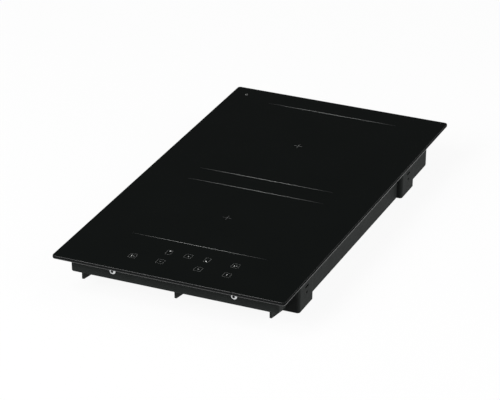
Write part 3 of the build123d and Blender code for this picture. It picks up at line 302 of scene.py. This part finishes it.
def glass_shape(low, high):
    """The plate's skin: its outline moved in by s and set at z. From the underside s falls over
    the arris, follows bulge * t**2 up the edge with t from -1 to 1, and grows over the arris.
    An extra ring inside each arris keeps the flat glass flat under smooth shading."""
    top = high.z - print_rise
    middle, half = (low.z + top) / 2, (top - low.z) / 2 - glass_arris
    arris_foot = edge_bulge + glass_arris
    nip = 0.3 * arris_ease  # how far the arris's inner corner is rounded off
    below = [
        (arris_foot + 4 * arris_ease, low.z),
        (arris_foot + arris_ease, low.z),
        (arris_foot - nip, low.z + nip),
    ]
    edge = [(edge_bulge * t**2, middle + t * half) for t in np.linspace(-1, 1, 9)]
    above = [
        (arris_foot - nip, top - nip),
        (arris_foot + arris_ease, top),
        (arris_foot + 4 * arris_ease, top),
    ]
    rings = []
    for inset, z in below + edge + above:
        flat = rounded_outline(high.x - inset, high.y - inset, glass_corner - inset, 12)
        rings.append(np.column_stack([flat, np.full(len(flat), z)]))
    return closed_skin(np.array(rings))


glass = make_piece(
    "glass_ceramic_plate",
    [glass_shape(glass_low, glass_high)],
    black_glass_ceramic(),
    replaced=["glass_plate"],
)
glass.data.materials.append(edge_glass("ground_glass_edge", 0.0))
glass.data.materials.append(edge_glass("polished_glass_arris", 0.5))
for face in glass.data.polygons:
    if abs(face.normal.z) < flat_face:
        face.material_index = 1 if ground_face[0] < face.normal.z < ground_face[1] else 2

# =========================================================================
# Printed marks: ceramic ink screened on the glass before it is fired. Four lines
# bound the two zones and fade to their ends, a cross stands in the middle of each
# zone, eight touch keys lie in two rows, and a small ring stands at the rear left.
# =========================================================================
line_width = 0.5 * mm
line_fade = 1.6  # the power of the fade to a line's ends
zone_radius = {"rear": 104 * mm, "front": 79 * mm}
zone_lines = {
    # each line's side of the zone, half length and how densely its middle is inked
    "rear": [(-1, 87 * mm, 0.56), (1, 87 * mm, 0.56)],
    "front": [(-1, 85.8 * mm, 0.46), (1, 88 * mm, 0.48)],
}
print_shift = -0.9 * mm  # how far the screen lay forward of the coils
ink_width = 0.36 * mm
cross_arm = 5.5 * mm
cross_marks = {"rear": (-1.5 * mm, 0.27), "front": (-0.3 * mm, 0.16)}  # x, how densely inked
cross_fade = 0.25  # how much less densely a cross's ends are inked
glyph_width = 1.6 * ink_width
key_half = (4.3 * mm, 4.7 * mm)
zone_key_half = (3.2 * mm, 5.0 * mm)
key_corner = 1.0 * mm
key_density = 0.135
dot_radius = 1.0 * mm
upper_row = -200.2 * mm
lower_row = -224.1 * mm
ring_place = (-123.7 * mm, 239.6 * mm)
ring_radius = 1.6 * mm
ring_width = 1.5 * ink_width
ring_density = 0.43
ink_levels = (glass_high.z - print_rise, glass_high.z)


def fired_ink():
    """Grey glass enamel, matt beside the plate; the mesh's ink value says how densely its dots
    lie, and sparse dots let the black glass through."""
    material, tree, shader, here = start("fired_ink", Roughness=0.42, IOR=1.5)
    density = add(tree, "ShaderNodeAttribute", attribute_name="ink").outputs["Fac"]
    grain = {"Vector": here, "Scale": 1 / (0.9 * mm), "Detail": 2.0}
    grain = add(tree, "ShaderNodeTexNoise", grain).outputs[0]
    grain = {"Value": grain, "From Min": 0.3, "From Max": 0.7, "To Min": 0.85, "To Max": 1.1}
    grain = add(tree, "ShaderNodeMapRange", grain).outputs[0]
    cover = {0: density, 1: grain}
    cover = add(tree, "ShaderNodeMath", cover, operation="MULTIPLY", use_clamp=True)
    tone = {0: cover.outputs[0], 6: linear("#0e1010"), 7: linear("#e6e8e6")}
    tone = add(tree, "ShaderNodeMix", tone, data_type="RGBA")
    tree.links.new(tone.outputs[2], shader.inputs["Base Color"])
    return material


def circle(centre, radius, steps):
    """Points round a circle: centre plus radius times (cos, sin)."""
    turn = np.linspace(0, 2 * np.pi, steps, endpoint=False)
    return np.asarray(centre) + radius * np.stack([np.cos(turn), np.sin(turn)], -1)


def stroke(path, width, closed=False):
    """A flat band of ink along a path: at each point the path's left normal times half the
    width, both ways, between the glass and the top of the ink."""
    path = np.asarray(path, float)
    ahead = np.roll(path, -1, axis=0) - path
    behind = path - np.roll(path, 1, axis=0)
    if not closed:
        ahead[-1] = behind[-1]
        behind[0] = ahead[0]
    ahead /= np.linalg.norm(ahead, axis=1)[:, None]
    behind /= np.linalg.norm(behind, axis=1)[:, None]
    along = ahead + behind
    along /= np.linalg.norm(along, axis=1)[:, None]
    left = np.stack([-along[:, 1], along[:, 0]], -1) * width / 2
    rings = np.empty((len(path), 4, 3))
    for corner, (side, level) in enumerate(((-1, 0), (1, 0), (1, 1), (-1, 1))):
        rings[:, corner, :2] = path + side * left
        rings[:, corner, 2] = ink_levels[level]
    if not closed:
        return closed_skin(rings)
    here = np.arange(len(path) * 4).reshape(-1, 4)
    beside, beyond = np.roll(here, -1, axis=1), np.roll(here, -1, axis=0)
    quads = np.stack([here, beside, np.roll(beyond, -1, axis=1), beyond], -1).reshape(-1, 4)
    return rings.reshape(-1, 3), quads.tolist()


def disc(centre, radius, steps=24):
    """A round dot of ink: the same circle at the glass and at the top of the ink."""
    flat = circle(centre, radius, steps)
    return closed_skin(np.array([np.column_stack([flat, np.full(steps, z)]) for z in ink_levels]))


inked = []  # (shape, how densely each vertex is inked)
for zone, lines in zone_lines.items():
    former_low, former_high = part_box(f"{zone}_coil_former")
    middle_y = (former_low.y + former_high.y) / 2 + print_shift
    for side, half, density in lines:
        y = middle_y + side * zone_radius[zone]
        shape = stroke(np.linspace((-half, y), (half, y), 41), line_width)
        reach = np.abs(shape[0][:, 0]) / half
        inked.append((shape, density * (1 - reach**2) ** line_fade))
    middle_x, density = cross_marks[zone]
    for arm in ((cross_arm, 0), (0, cross_arm)):
        near_end = (middle_x - arm[0], middle_y - arm[1])
        far_end = (middle_x + arm[0], middle_y + arm[1])
        shape = stroke(np.linspace(near_end, far_end, 9), ink_width)
        reach = np.hypot(shape[0][:, 0] - middle_x, shape[0][:, 1] - middle_y) / cross_arm
        inked.append((shape, density * (1 - cross_fade * reach)))

keys = [
    # x, row and half size of the frame, then how densely inked and where each stroke
    # and each dot inside it is; x and these places are in millimetres
    (-24.4, upper_row, zone_key_half, [], [(0.8, (0.0, 3.3))]),
    (-0.3, upper_row, key_half, [(0.65, ((-0.3, 1.0), (0.0, 0.0), (0.5, -1.4)))], []),
    (23.3, upper_row, zone_key_half, [], [(1.0, (0.0, -3.3))]),
    (
        58.4,
        upper_row,
        key_half,
        [(0.9, ((-1.9, -1.3), (-1.2, 0.4), (-0.6, -1.0))), (0.6, ((0.7, -0.7), (2.0, 0.3)))],
        [],
    ),
    (
        -58.7,
        lower_row,
        key_half,
        [(1.0, ((-1.5, -1.5), (-1.3, 1.7))), (0.7, ((0.9, -0.9), (1.9, 0.3)))],
        [],
    ),
    (-23.9, lower_row, key_half, [(0.35, ((-0.6, -0.3), (1.5, -0.3)))], []),
    (
        23.1,
        lower_row,
        key_half,
        [(0.4, ((-1.2, 0.0), (1.2, 0.0))), (0.4, ((0.0, -1.2), (0.0, 1.2)))],
        [],
    ),
    (58.5, lower_row, key_half, [(0.85, ((-0.2, -1.7), (0.2, 1.7)))], []),
]
for x, row, half, strokes, dots in keys:
    centre = np.array((x * mm, row))
    frame_path = centre + rounded_outline(*half, key_corner, 7)
    inked.append((stroke(frame_path, ink_width, closed=True), key_density))
    for density, path in strokes:
        inked.append((stroke(centre + np.array(path) * mm, glyph_width), density))
    for density, dot in dots:
        inked.append((disc(centre + np.array(dot) * mm, dot_radius), density))
ring_path = circle(ring_place, ring_radius, 20)
inked.append((stroke(ring_path, ring_width, closed=True), ring_density))

mark_shapes = [shape for shape, _ in inked]
marks = make_piece("printed_marks", mark_shapes, fired_ink())
ink = np.concatenate([np.broadcast_to(value, len(shape[0])) for shape, value in inked])
ink_layer = marks.data.attributes.new("ink", "FLOAT", "POINT")
ink_layer.data.foreach_set("value", ink.astype(np.float32))

# =========================================================================
# Case: glass-filled polyamide, injection moulded in one shot with a fine
# spark-eroded texture; the guard in its air inlet, the gland and its nut match it.
# =========================================================================


def assign(material, *names):
    """Give CAD nodes a material."""
    for name in names:
        nodes[name].data.materials.clear()
        nodes[name].data.materials.append(material)


def moulded_plastic(name, dark, light, grit_mm, low_gloss, high_gloss, relief_mm, shine=0.5):
    """Moulded plastic, silicone or dipped paint: a grit from the tool's surface, drawn coarser
    than it is so that it shows, with slow changes of tone where the melt flowed, and a roughness
    that follows the grit."""
    material, tree, shader, here = start(name, IOR=1.52, Specular_IOR_Level=shine)
    grit = {"Vector": here, "Scale": 1 / (grit_mm * mm), "Detail": 3.0, "Roughness": 0.6}
    grit = add(tree, "ShaderNodeTexNoise", grit).outputs[0]
    flow = {"Vector": here, "Scale": 1 / (40 * mm), "Detail": 2.0}
    flow = add(tree, "ShaderNodeTexNoise", flow).outputs[0]
    shade = add(tree, "ShaderNodeMath", {0: grit, 1: flow}, operation="ADD").outputs[0]
    shade = {"Value": shade, "From Min": 0.7, "From Max": 1.3}
    shade = add(tree, "ShaderNodeMapRange", shade).outputs[0]
    tone = {0: shade, 6: linear(dark), 7: linear(light)}
    gloss = {"Value": grit, "From Min": 0.3, "From Max": 0.7}
    gloss |= {"To Min": low_gloss, "To Max": high_gloss}
    relief = {"Height": grit, "Strength": 0.5, "Distance": relief_mm * mm}
    finish(tree, shader, tone, gloss, relief)
    return material


case_plastic = moulded_plastic(
    "black_glass_filled_polyamide", "#272928", "#303332", 0.9, 0.55, 0.75, 0.05, shine=0.07
)
assign(case_plastic, "base_tub", "fan_guard", "cable_gland", "gland_nut")

# =========================================================================
# Rim screws: zinc-plated self-tapping screws with pan heads and a cross recess,
# two in the front, two in the rear and two in each side, which hold the case to
# the steel frame under the glass.
# =========================================================================
rim_low, rim_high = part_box("case_screws")
rim_play = 0.3 * mm  # how high the screws sit in their holes
rim_level = (rim_low.z + rim_high.z) / 2 + rim_play
rim_columns = (-75.5 * mm, 75.5 * mm)
flank_rows = (-70 * mm, 40 * mm)
head_share = 0.9  # the head's radius as a share of half the height of the screws' box
rim_head_radius = head_share * (rim_high.z - rim_low.z) / 2
rim_head_height = 2.2 * mm
crown_fall = 0.55  # how much of its height the head's face falls to its rim
rim_shank_radius = 1.9 * mm
rim_shank_length = 5.0 * mm
recess_arm = 1.4 * mm
recess_half_width = 0.5 * mm
recess_depth = 1.7 * mm
recess_taper = 0.35 * mm
screw_steps = 48


def worked_metal(name, dark, light, lines, low_gloss, high_gloss, relief_mm):
    """Bare or plated metal as its tools left it: a grain of so many lines a millimetre along x,
    y and z, which shades the colour, the roughness and a shallow relief."""
    material, tree, shader, here = start(name, Metallic=1.0)
    grain = {"Vector": here, "Scale": [count / mm for count in lines]}
    grain = add(tree, "ShaderNodeMapping", grain).outputs[0]
    grain = {"Vector": grain, "Scale": 1.0, "Detail": 4.0, "Roughness": 0.65}
    grain = add(tree, "ShaderNodeTexNoise", grain).outputs[0]
    cloud = {"Vector": here, "Scale": 1 / (12 * mm), "Detail": 2.0}
    cloud = add(tree, "ShaderNodeTexNoise", cloud).outputs[0]
    shade = add(tree, "ShaderNodeMath", {0: grain, 1: cloud}, operation="ADD").outputs[0]
    shade = {"Value": shade, "From Min": 0.7, "From Max": 1.3}
    shade = add(tree, "ShaderNodeMapRange", shade).outputs[0]
    tone = {0: shade, 6: linear(dark), 7: linear(light)}
    gloss = {"Value": shade, "To Min": low_gloss, "To Max": high_gloss}
    relief = {"Height": grain, "Strength": 0.4, "Distance": relief_mm * mm}
    finish(tree, shader, tone, gloss, relief)
    return material


def crown(reach):
    """The height of the head's face, before its recess, at a share of its radius."""
    return rim_head_height * (1 - crown_fall * reach**4)


def pan_head_screw():
    """Rings from the shank's tip to the head's middle, about z, the seat at z = 0. The head is
    its crown less a cross recess: depth times how far a point lies within both the arms' width
    and their reach, over the taper of the recess's walls."""
    unit = circle((0, 0), 1.0, screw_steps)
    shank = [(0.7, -1.0), (1.0, -0.86), (1.0, 0.0)]
    stations = [(share * rim_shank_radius, at * rim_shank_length) for share, at in shank]
    stations.append((rim_head_radius, 0.0))
    rings = [np.column_stack([unit * r, np.full(screw_steps, z)]) for r, z in stations]
    for reach in np.linspace(1.0, 0.03, 22):
        flat = unit * reach * rim_head_radius
        across = np.abs(flat)
        inside_width = (recess_half_width + recess_taper - across.min(1)) / recess_taper
        inside_reach = (recess_arm + recess_taper - across.max(1)) / recess_taper
        cut = recess_depth * np.clip(inside_width, 0, 1) * np.clip(inside_reach, 0, 1)
        rings.append(np.column_stack([flat, crown(reach) - cut]))
    return np.array(rings)


def paint_recess_shade(metal, colour):
    """Painted shade in a cross recess: where a mesh's recess value rises to 1, the metal's tone
    gives way to a darker one."""
    tree = metal.node_tree
    shader = next(node for node in tree.nodes if node.type == "BSDF_PRINCIPLED")
    bright = shader.inputs["Base Color"].links[0].from_socket
    recess_shade = add(tree, "ShaderNodeAttribute", attribute_name="recess").outputs["Fac"]
    tone = {0: recess_shade, 6: bright, 7: linear(colour)}
    tone = add(tree, "ShaderNodeMix", tone, data_type="RGBA")
    tree.links.new(tone.outputs[2], shader.inputs["Base Color"])


rim_seats = []  # (place, outward)
for x in rim_columns:
    rim_seats.append(((x, rim_low.y + rim_head_height, rim_level), (0, -1, 0)))
    rim_seats.append(((x, rim_high.y - rim_head_height, rim_level), (0, 1, 0)))
for y in flank_rows:
    rim_seats.append(((rim_low.x + rim_head_height, y, rim_level), (-1, 0, 0)))
    rim_seats.append(((rim_high.x - rim_head_height, y, rim_level), (1, 0, 0)))
rim_shapes = []
screw = pan_head_screw()
for seat, out in rim_seats:
    axes = np.array([np.cross((0, 0, 1), out), (0, 0, 1), out])
    rim_shapes.append(closed_skin(np.array(seat) + screw @ axes))
zinc = worked_metal("zinc_plated_steel", "#ced1d2", "#ebecec", (0.7, 0.7, 0.7), 0.3, 0.5, 0.02)
# Near-black painted shade in the rim screws' cross recesses.
paint_recess_shade(zinc, "#141414")
rim_screws = make_piece(
    "rim_screws", rim_shapes, zinc, replaced=["case_screws"], sharp_angle=32.0
)
# How deep each point lies in a cross recess sets how much painted shade it gets.
points = closed_skin(screw)[0]
depth = crown(np.hypot(points[:, 0], points[:, 1]) / rim_head_radius) - points[:, 2]
recess_shade = np.where(points[:, 2] > 0, np.clip(depth / recess_depth, 0, 1), 0)
recess_shade = np.tile(recess_shade, len(rim_seats)).astype(np.float32)
rim_screws.data.attributes.new("recess", "FLOAT", "POINT").data.foreach_set("value", recess_shade)

# =========================================================================
# Small screws: the same zinc-plated steel. They hold the carrier plate on its
# posts, the boards on their bosses, the blower to the floor and the cord clamp.
# =========================================================================
assign(zinc, "plate_screws", "board_screws", "blower_screws", "clamp_screws")

# =========================================================================
# Frame under the glass: folded steel sheet, dip-painted black, which the rim
# screws reach through the case's wall.
# =========================================================================
frame_paint = moulded_plastic("black_dip_paint", "#101111", "#181919", 2.2, 0.35, 0.5, 0.03)
assign(frame_paint, "glass_frame")

# =========================================================================
# Adhesive bead: black silicone, laid by a robot between the frame and the glass
# and pressed to an even 0.8 mm.
# =========================================================================
silicone = moulded_plastic("black_silicone", "#0d0d0e", "#151516", 3.5, 0.45, 0.65, 0.06)
assign(silicone, "adhesive_bead")

# =========================================================================
# Worktop seal and touch pads: closed-cell foam. The seal is a strip stuck under
# the glass edge; the pads join each key's copper on the board to the glass.
# =========================================================================


def porous(name, dark, light, cell_mm, low_gloss, high_gloss, relief_mm, metallic=0.0):
    """Foam, or pressed and sintered powder: rounded cells or grains, darker and rougher between
    them, with a fine speckle. Powder's grains are drawn coarser than they are so that they
    show."""
    material, tree, shader, here = start(name, Metallic=metallic)
    cell = {"Vector": here, "Scale": 1 / (cell_mm * mm)}
    cell = add(tree, "ShaderNodeTexVoronoi", cell).outputs[0]
    speckle = {"Vector": here, "Scale": 4 / (cell_mm * mm), "Detail": 3.0}
    speckle = add(tree, "ShaderNodeTexNoise", speckle).outputs[0]
    shade = add(tree, "ShaderNodeMath", {0: cell, 1: speckle}, operation="ADD").outputs[0]
    shade = {"Value": shade, "From Min": 0.5, "From Max": 1.4, "To Min": 1.0, "To Max": 0.0}
    shade = add(tree, "ShaderNodeMapRange", shade).outputs[0]
    tone = {0: shade, 6: linear(dark), 7: linear(light)}
    gloss = {"Value": shade, "To Min": high_gloss, "To Max": low_gloss}
    relief = {"Height": shade, "Strength": 0.5, "Distance": relief_mm * mm}
    finish(tree, shader, tone, gloss, relief)
    return material


assign(porous("dark_seal_foam", "#161718", "#2a2b2d", 0.6, 0.8, 0.95, 0.15), "worktop_seal")
assign(porous("conductive_pad_foam", "#0c0c0d", "#1e1e1f", 0.4, 0.75, 0.9, 0.1), "touch_pads")

# =========================================================================
# Carrier plate: aluminium sheet, rolled, punched and deburred. It spreads the
# coils' weight and shields the boards below from their field.
# =========================================================================
rolled = worked_metal("rolled_aluminium", "#a4a7a9", "#c6c8c9", (0.06, 5, 5), 0.3, 0.46, 0.02)
assign(rolled, "carrier_plate")

# =========================================================================
# Coil formers: glass-filled plastic discs with a rim that holds the winding and
# channels underneath for the ferrite bars.
# =========================================================================
former_plastic = moulded_plastic("grey_coil_former", "#2b2c2e", "#3a3b3c", 1.2, 0.45, 0.62, 0.05)
assign(former_plastic, "rear_coil_former", "front_coil_former")

# =========================================================================
# Ferrite bars: pressed and sintered manganese-zinc ferrite, as fired, glued into
# the formers' channels.
# =========================================================================
ferrite = porous("sintered_ferrite", "#1b1b1d", "#39393c", 0.35, 0.45, 0.7, 0.03)
assign(ferrite, "rear_coil_ferrites", "front_coil_ferrites")

# =========================================================================
# Windings: enamelled copper litz wire, wound flat from the middle outwards, and
# the choke's thicker wire, wound through its ring.
# =========================================================================
litz_pitch = 2.6 * mm
choke_turns = 26


def centre_of(name):
    """The middle of a CAD node's box."""
    low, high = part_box(name)
    return (low + high) / 2


def layered(name, dark, light, pitch, centre=(0, 0, 0), metallic=0.0, depth=0.2, **wave):
    """Wire, tape or sheets side by side: a rounded ridge for each pitch, with painted shade in
    the grooves and a fine grain. The wave's settings say which way the layers run about the
    centre."""
    material, tree, shader, here = start(name, Metallic=metallic)
    local = {0: here, 1: tuple(centre)}
    local = add(tree, "ShaderNodeVectorMath", local, operation="SUBTRACT").outputs[0]
    scale = math.pi / (10 * pitch)  # the wave texture repeats every pi / 10 over its scale
    ridge = {"Vector": local, "Scale": scale}
    ridge |= {"Distortion": 0.4, "Detail": 1.0, "Detail Scale": 0.5}
    ridge = add(tree, "ShaderNodeTexWave", ridge, **wave).outputs[1]
    grain = {"Vector": here, "Scale": 3 / pitch, "Detail": 3.0}
    grain = add(tree, "ShaderNodeTexNoise", grain).outputs[0]
    shade = add(tree, "ShaderNodeMath", {0: ridge, 1: grain}, operation="MULTIPLY").outputs[0]
    shade = add(tree, "ShaderNodeMapRange", {"Value": shade, "From Max": 0.6}).outputs[0]
    # The darker colour is painted shade in the grooves between the ridges.
    tone = {0: shade, 6: linear(dark), 7: linear(light)}
    gloss = {"Value": grain, "To Min": 0.25, "To Max": 0.55}
    relief = {"Height": ridge, "Strength": 0.7, "Distance": depth * pitch}
    finish(tree, shader, tone, gloss, relief)
    return material


def wound_ring(name, dark, light, turns, centre):
    """Wire wound through a ring: the angle about the ring's axis times the number of turns gives
    each turn a rounded ridge, with painted shade in the grooves between turns."""
    material, tree, shader, here = start(name, Metallic=1.0)
    local = {0: here, 1: tuple(centre)}
    local = add(tree, "ShaderNodeVectorMath", local, operation="SUBTRACT").outputs[0]
    angle = add(tree, "ShaderNodeTexGradient", {"Vector": local}, gradient_type="RADIAL")
    angle = {0: angle.outputs[1], 1: 2 * math.pi * turns}
    angle = add(tree, "ShaderNodeMath", angle, operation="MULTIPLY").outputs[0]
    ridge = add(tree, "ShaderNodeMath", {0: angle}, operation="SINE").outputs[0]
    ridge = add(tree, "ShaderNodeMapRange", {"Value": ridge, "From Min": -1.0}).outputs[0]
    grain = {"Vector": here, "Scale": 1 / (0.8 * mm)}
    grain = add(tree, "ShaderNodeTexNoise", grain).outputs[0]
    # The colour follows the ridge: painted shade in the grooves, the copper's own colour on the
    # crests.
    tone = {0: ridge, 6: linear(dark), 7: linear(light)}
    gloss = {"Value": grain, "To Min": 0.2, "To Max": 0.45}
    relief = {"Height": ridge, "Strength": 0.8, "Distance": 0.6 * mm}
    finish(tree, shader, tone, gloss, relief)
    return material


for zone in ("rear", "front"):
    centre = centre_of(f"{zone}_coil_former")
    rings = {"wave_type": "RINGS", "rings_direction": "Z"}
    # The darker copper is painted shade in the grooves between turns.
    litz = layered(f"{zone}_copper_litz", "#4a2413", "#b4693a", litz_pitch, centre, 1.0, **rings)
    assign(litz, f"{zone}_winding")
choke_middle = centre_of("filter_choke")
# The darker copper is painted shade between the choke's turns.
choke_copper = wound_ring("choke_copper", "#5a2c16", "#bd7142", choke_turns, choke_middle)
assign(choke_copper, "filter_choke")

# =========================================================================
# Mica sheets: pressed muscovite flakes, punched to discs, which keep the windings
# off the hot glass.
# =========================================================================
mica = porous("pressed_mica", "#7d7358", "#b9ab86", 5.0, 0.25, 0.5, 0.03)
assign(mica, "rear_mica_sheet", "front_mica_sheet")

# =========================================================================
# Springs, sensors and shaft: bright steel leaves that press the coils up, the
# heat sensors' aluminium caps, and the blower's ground steel shaft.
# =========================================================================
bright_steel = worked_metal(
    "bright_spring_steel", "#77797b", "#a2a4a6", (0.9, 0.9, 2.5), 0.22, 0.4, 0.01
)
assign(bright_steel, "rear_coil_springs", "front_coil_springs", "blower_shaft")
sensor_metal = worked_metal(
    "turned_aluminium", "#999c9e", "#bfc1c2", (0.3, 0.3, 6), 0.25, 0.42, 0.02
)
assign(sensor_metal, "rear_heat_sensor", "front_heat_sensor")

# =========================================================================
# Circuit boards: glass-epoxy laminate under green solder mask, with tracks, tinned
# holes and cream nylon plugs. They are screwed or clipped down.
# =========================================================================
board_thickness = 1.6 * mm
board_slack = 0.02 * mm  # so that the laminate's own faces count as laminate
track_module = 6.25 * mm
hole_module = 5 * mm
hole_radius = 0.8 * mm


def circuit_board(name, underside):
    """A board from its underside up: mask over raised tracks (a brick pattern's courses, 3.4 mm
    apart, coarser than real ones so that they show), tinned dots at the middles of scattered
    cells, and cream nylon outside the laminate's thickness."""
    material, tree, shader, here = start(name)
    tracks = {"Vector": here, "Scale": 1 / track_module}
    tracks |= {"Mortar Size": 0.07, "Brick Width": 1.7, "Row Height": 0.55}
    tracks = add(tree, "ShaderNodeTexBrick", tracks, squash=1.6, squash_frequency=3).outputs[1]
    weave = {"Vector": here, "Scale": 1 / (1.2 * mm), "Detail": 2.0}
    weave = add(tree, "ShaderNodeTexNoise", weave).outputs[0]
    mask = {0: tracks, 6: linear("#0d4a26"), 7: linear("#1b6b3a")}
    mask = add(tree, "ShaderNodeMix", mask, data_type="RGBA").outputs[2]
    cell = {"Vector": here, "Scale": 1 / hole_module}
    cell = add(tree, "ShaderNodeTexVoronoi", cell).outputs[0]
    dot = {0: cell, 1: hole_radius / hole_module}
    dot = add(tree, "ShaderNodeMath", dot, operation="LESS_THAN").outputs[0]
    laminate = {0: dot, 6: mask, 7: linear("#c4c5c1")}
    laminate = add(tree, "ShaderNodeMix", laminate, data_type="RGBA").outputs[2]
    height = add(tree, "ShaderNodeSeparateXYZ", {0: here}).outputs["Z"]
    band = {0: height, 1: underside + board_thickness / 2, 2: board_thickness / 2 + board_slack}
    within = add(tree, "ShaderNodeMath", band, operation="COMPARE").outputs[0]
    tone = {0: within, 6: linear("#e2dcc8"), 7: laminate}
    gloss = {"Value": weave, "To Min": 0.25, "To Max": 0.5}
    relief = {"Height": tracks, "Strength": 0.5, "Distance": 0.08 * mm}
    finish(tree, shader, tone, gloss, relief)
    return material


lower_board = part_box("filter_board")[0].z
upper_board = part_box("control_board")[1].z - board_thickness
assign(circuit_board("power_board_laminate", lower_board), "inverter_board", "filter_board")
assign(circuit_board("control_board_laminate", upper_board), "control_board")

# =========================================================================
# Heat sink: an aluminium extrusion sawn to length and screwed to the inverter
# board, its fins along the blower's air.
# =========================================================================
extruded = worked_metal(
    "extruded_aluminium", "#9fa2a4", "#c0c3c5", (4, 0.04, 4), 0.3, 0.5, 0.03
)
assign(extruded, "heat_sink")

# =========================================================================
# Parts on the boards: moulded epoxy packages, grey film capacitors in potted
# cases, a fuse in its holder and a relay in a blue case, all soldered in.
# =========================================================================
epoxy = moulded_plastic("moulded_epoxy", "#141415", "#202022", 0.5, 0.5, 0.7, 0.03)
assign(epoxy, "power_transistors", "bridge_rectifier")
film_case = moulded_plastic("grey_film_capacitor", "#6d7073", "#83868a", 1.6, 0.28, 0.42, 0.02)
assign(film_case, "bus_capacitors", "resonance_capacitors", "filter_capacitors")
fuse_case = moulded_plastic("cream_fuse_holder", "#b7b09a", "#cdc6b0", 1.4, 0.3, 0.45, 0.02)
assign(fuse_case, "mains_fuse")
relay_case = moulded_plastic("blue_relay_case", "#16254f", "#20336a", 1.8, 0.2, 0.34, 0.02)
assign(relay_case, "mains_relay")

# =========================================================================
# Electrolytic capacitors: drawn aluminium cans in a shrunk dark-blue sleeve that
# stops at the rim, so the can's top is bare.
# =========================================================================
bare_rim = 0.3 * mm
sleeve_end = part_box("electrolytic_capacitors")[1].z - bare_rim


def sleeved_can():
    """Dark-blue film below the sleeve's end and bare brushed aluminium above it."""
    material, tree, shader, here = start("sleeved_can")
    height = add(tree, "ShaderNodeSeparateXYZ", {0: here}).outputs["Z"]
    bare = {0: height, 1: sleeve_end}
    bare = add(tree, "ShaderNodeMath", bare, operation="GREATER_THAN").outputs[0]
    grain = {"Vector": here, "Scale": 1 / (0.5 * mm), "Detail": 3.0}
    grain = add(tree, "ShaderNodeTexNoise", grain).outputs[0]
    film = {0: grain, 6: linear("#10182c"), 7: linear("#1d2948")}
    film = add(tree, "ShaderNodeMix", film, data_type="RGBA").outputs[2]
    can = {0: grain, 6: linear("#9b9ea0"), 7: linear("#c2c4c5")}
    can = add(tree, "ShaderNodeMix", can, data_type="RGBA").outputs[2]
    tree.links.new(bare, shader.inputs["Metallic"])
    tone = {0: bare, 6: film, 7: can}
    gloss = {"Value": grain, "To Min": 0.2, "To Max": 0.45}
    relief = {"Height": grain, "Strength": 0.3, "Distance": 0.02 * mm}
    finish(tree, shader, tone, gloss, relief)
    return material


assign(sleeved_can(), "electrolytic_capacitors")

# =========================================================================
# Transformer: coils under yellow polyester tape, wrapped level by level round a
# bobbin, between the halves of a ferrite core.
# =========================================================================
tape_pitch = 1.1 * mm
# The darker yellow is painted shade in the grooves between wraps.
tape = layered("yellow_polyester_tape", "#8f7414", "#cdab2c", tape_pitch, bands_direction="Z")
assign(tape, "transformer")

# =========================================================================
# Mains terminals: a block of natural polyamide with brass screws. The cord's
# clamp is of the same polyamide, and the coils' terminals are brass too.
# =========================================================================
polyamide = moulded_plastic("natural_polyamide", "#b4b2a8", "#c8c6bb", 1.5, 0.3, 0.46, 0.03)
assign(polyamide, "terminal_block", "cord_clamp")
brass = worked_metal("turned_brass", "#9a7a3a", "#c6a25a", (0.9, 0.9, 3), 0.22, 0.4, 0.02)
assign(brass, "terminal_screws", "coil_terminals")

# =========================================================================
# Blower: glass-filled housing, cover and impeller, a rotor ring of bonded ferrite
# on ground steel, sintered bronze bushes and a lacquered stack of steel sheets.
# =========================================================================
sheet_pitch = 0.5 * mm
blower_plastic = moulded_plastic(
    "black_blower_plastic", "#17181a", "#222325", 1.0, 0.42, 0.6, 0.04
)
assign(blower_plastic, "blower_housing", "blower_cover", "blower_impeller")
magnet = porous("bonded_ferrite_magnet", "#1e1e20", "#343437", 0.3, 0.5, 0.7, 0.02)
assign(magnet, "blower_magnet")
bronze = porous("sintered_bronze", "#7d5326", "#b98449", 0.25, 0.3, 0.5, 0.02, metallic=1.0)
assign(bronze, "blower_bushes")
# The darker grey is painted shade in the grooves between sheets.
stack = layered("lacquered_laminations", "#2b2d30", "#64676b", sheet_pitch, bands_direction="Z")
assign(stack, "blower_stator")

# =========================================================================
# Touch controls: a light-grey holder clipped into the tray, two dark display
# blocks read through the glass, and a grey ribbon down to the inverter board.
# =========================================================================
ribbon_pitch = 1.27 * mm
holder = moulded_plastic("light_grey_holder", "#a9aaa7", "#bcbdba", 1.3, 0.4, 0.55, 0.04)
assign(holder, "control_holder")
display = moulded_plastic("dark_display_face", "#0b0b0c", "#131314", 2.0, 0.15, 0.28, 0.01)
assign(display, "segment_displays")
# The darker grey is painted shade in the grooves between the wires.
ribbon = layered("grey_ribbon", "#6c6e70", "#9fa1a3", ribbon_pitch, bands_direction="X")
assign(ribbon, "ribbon_cable")
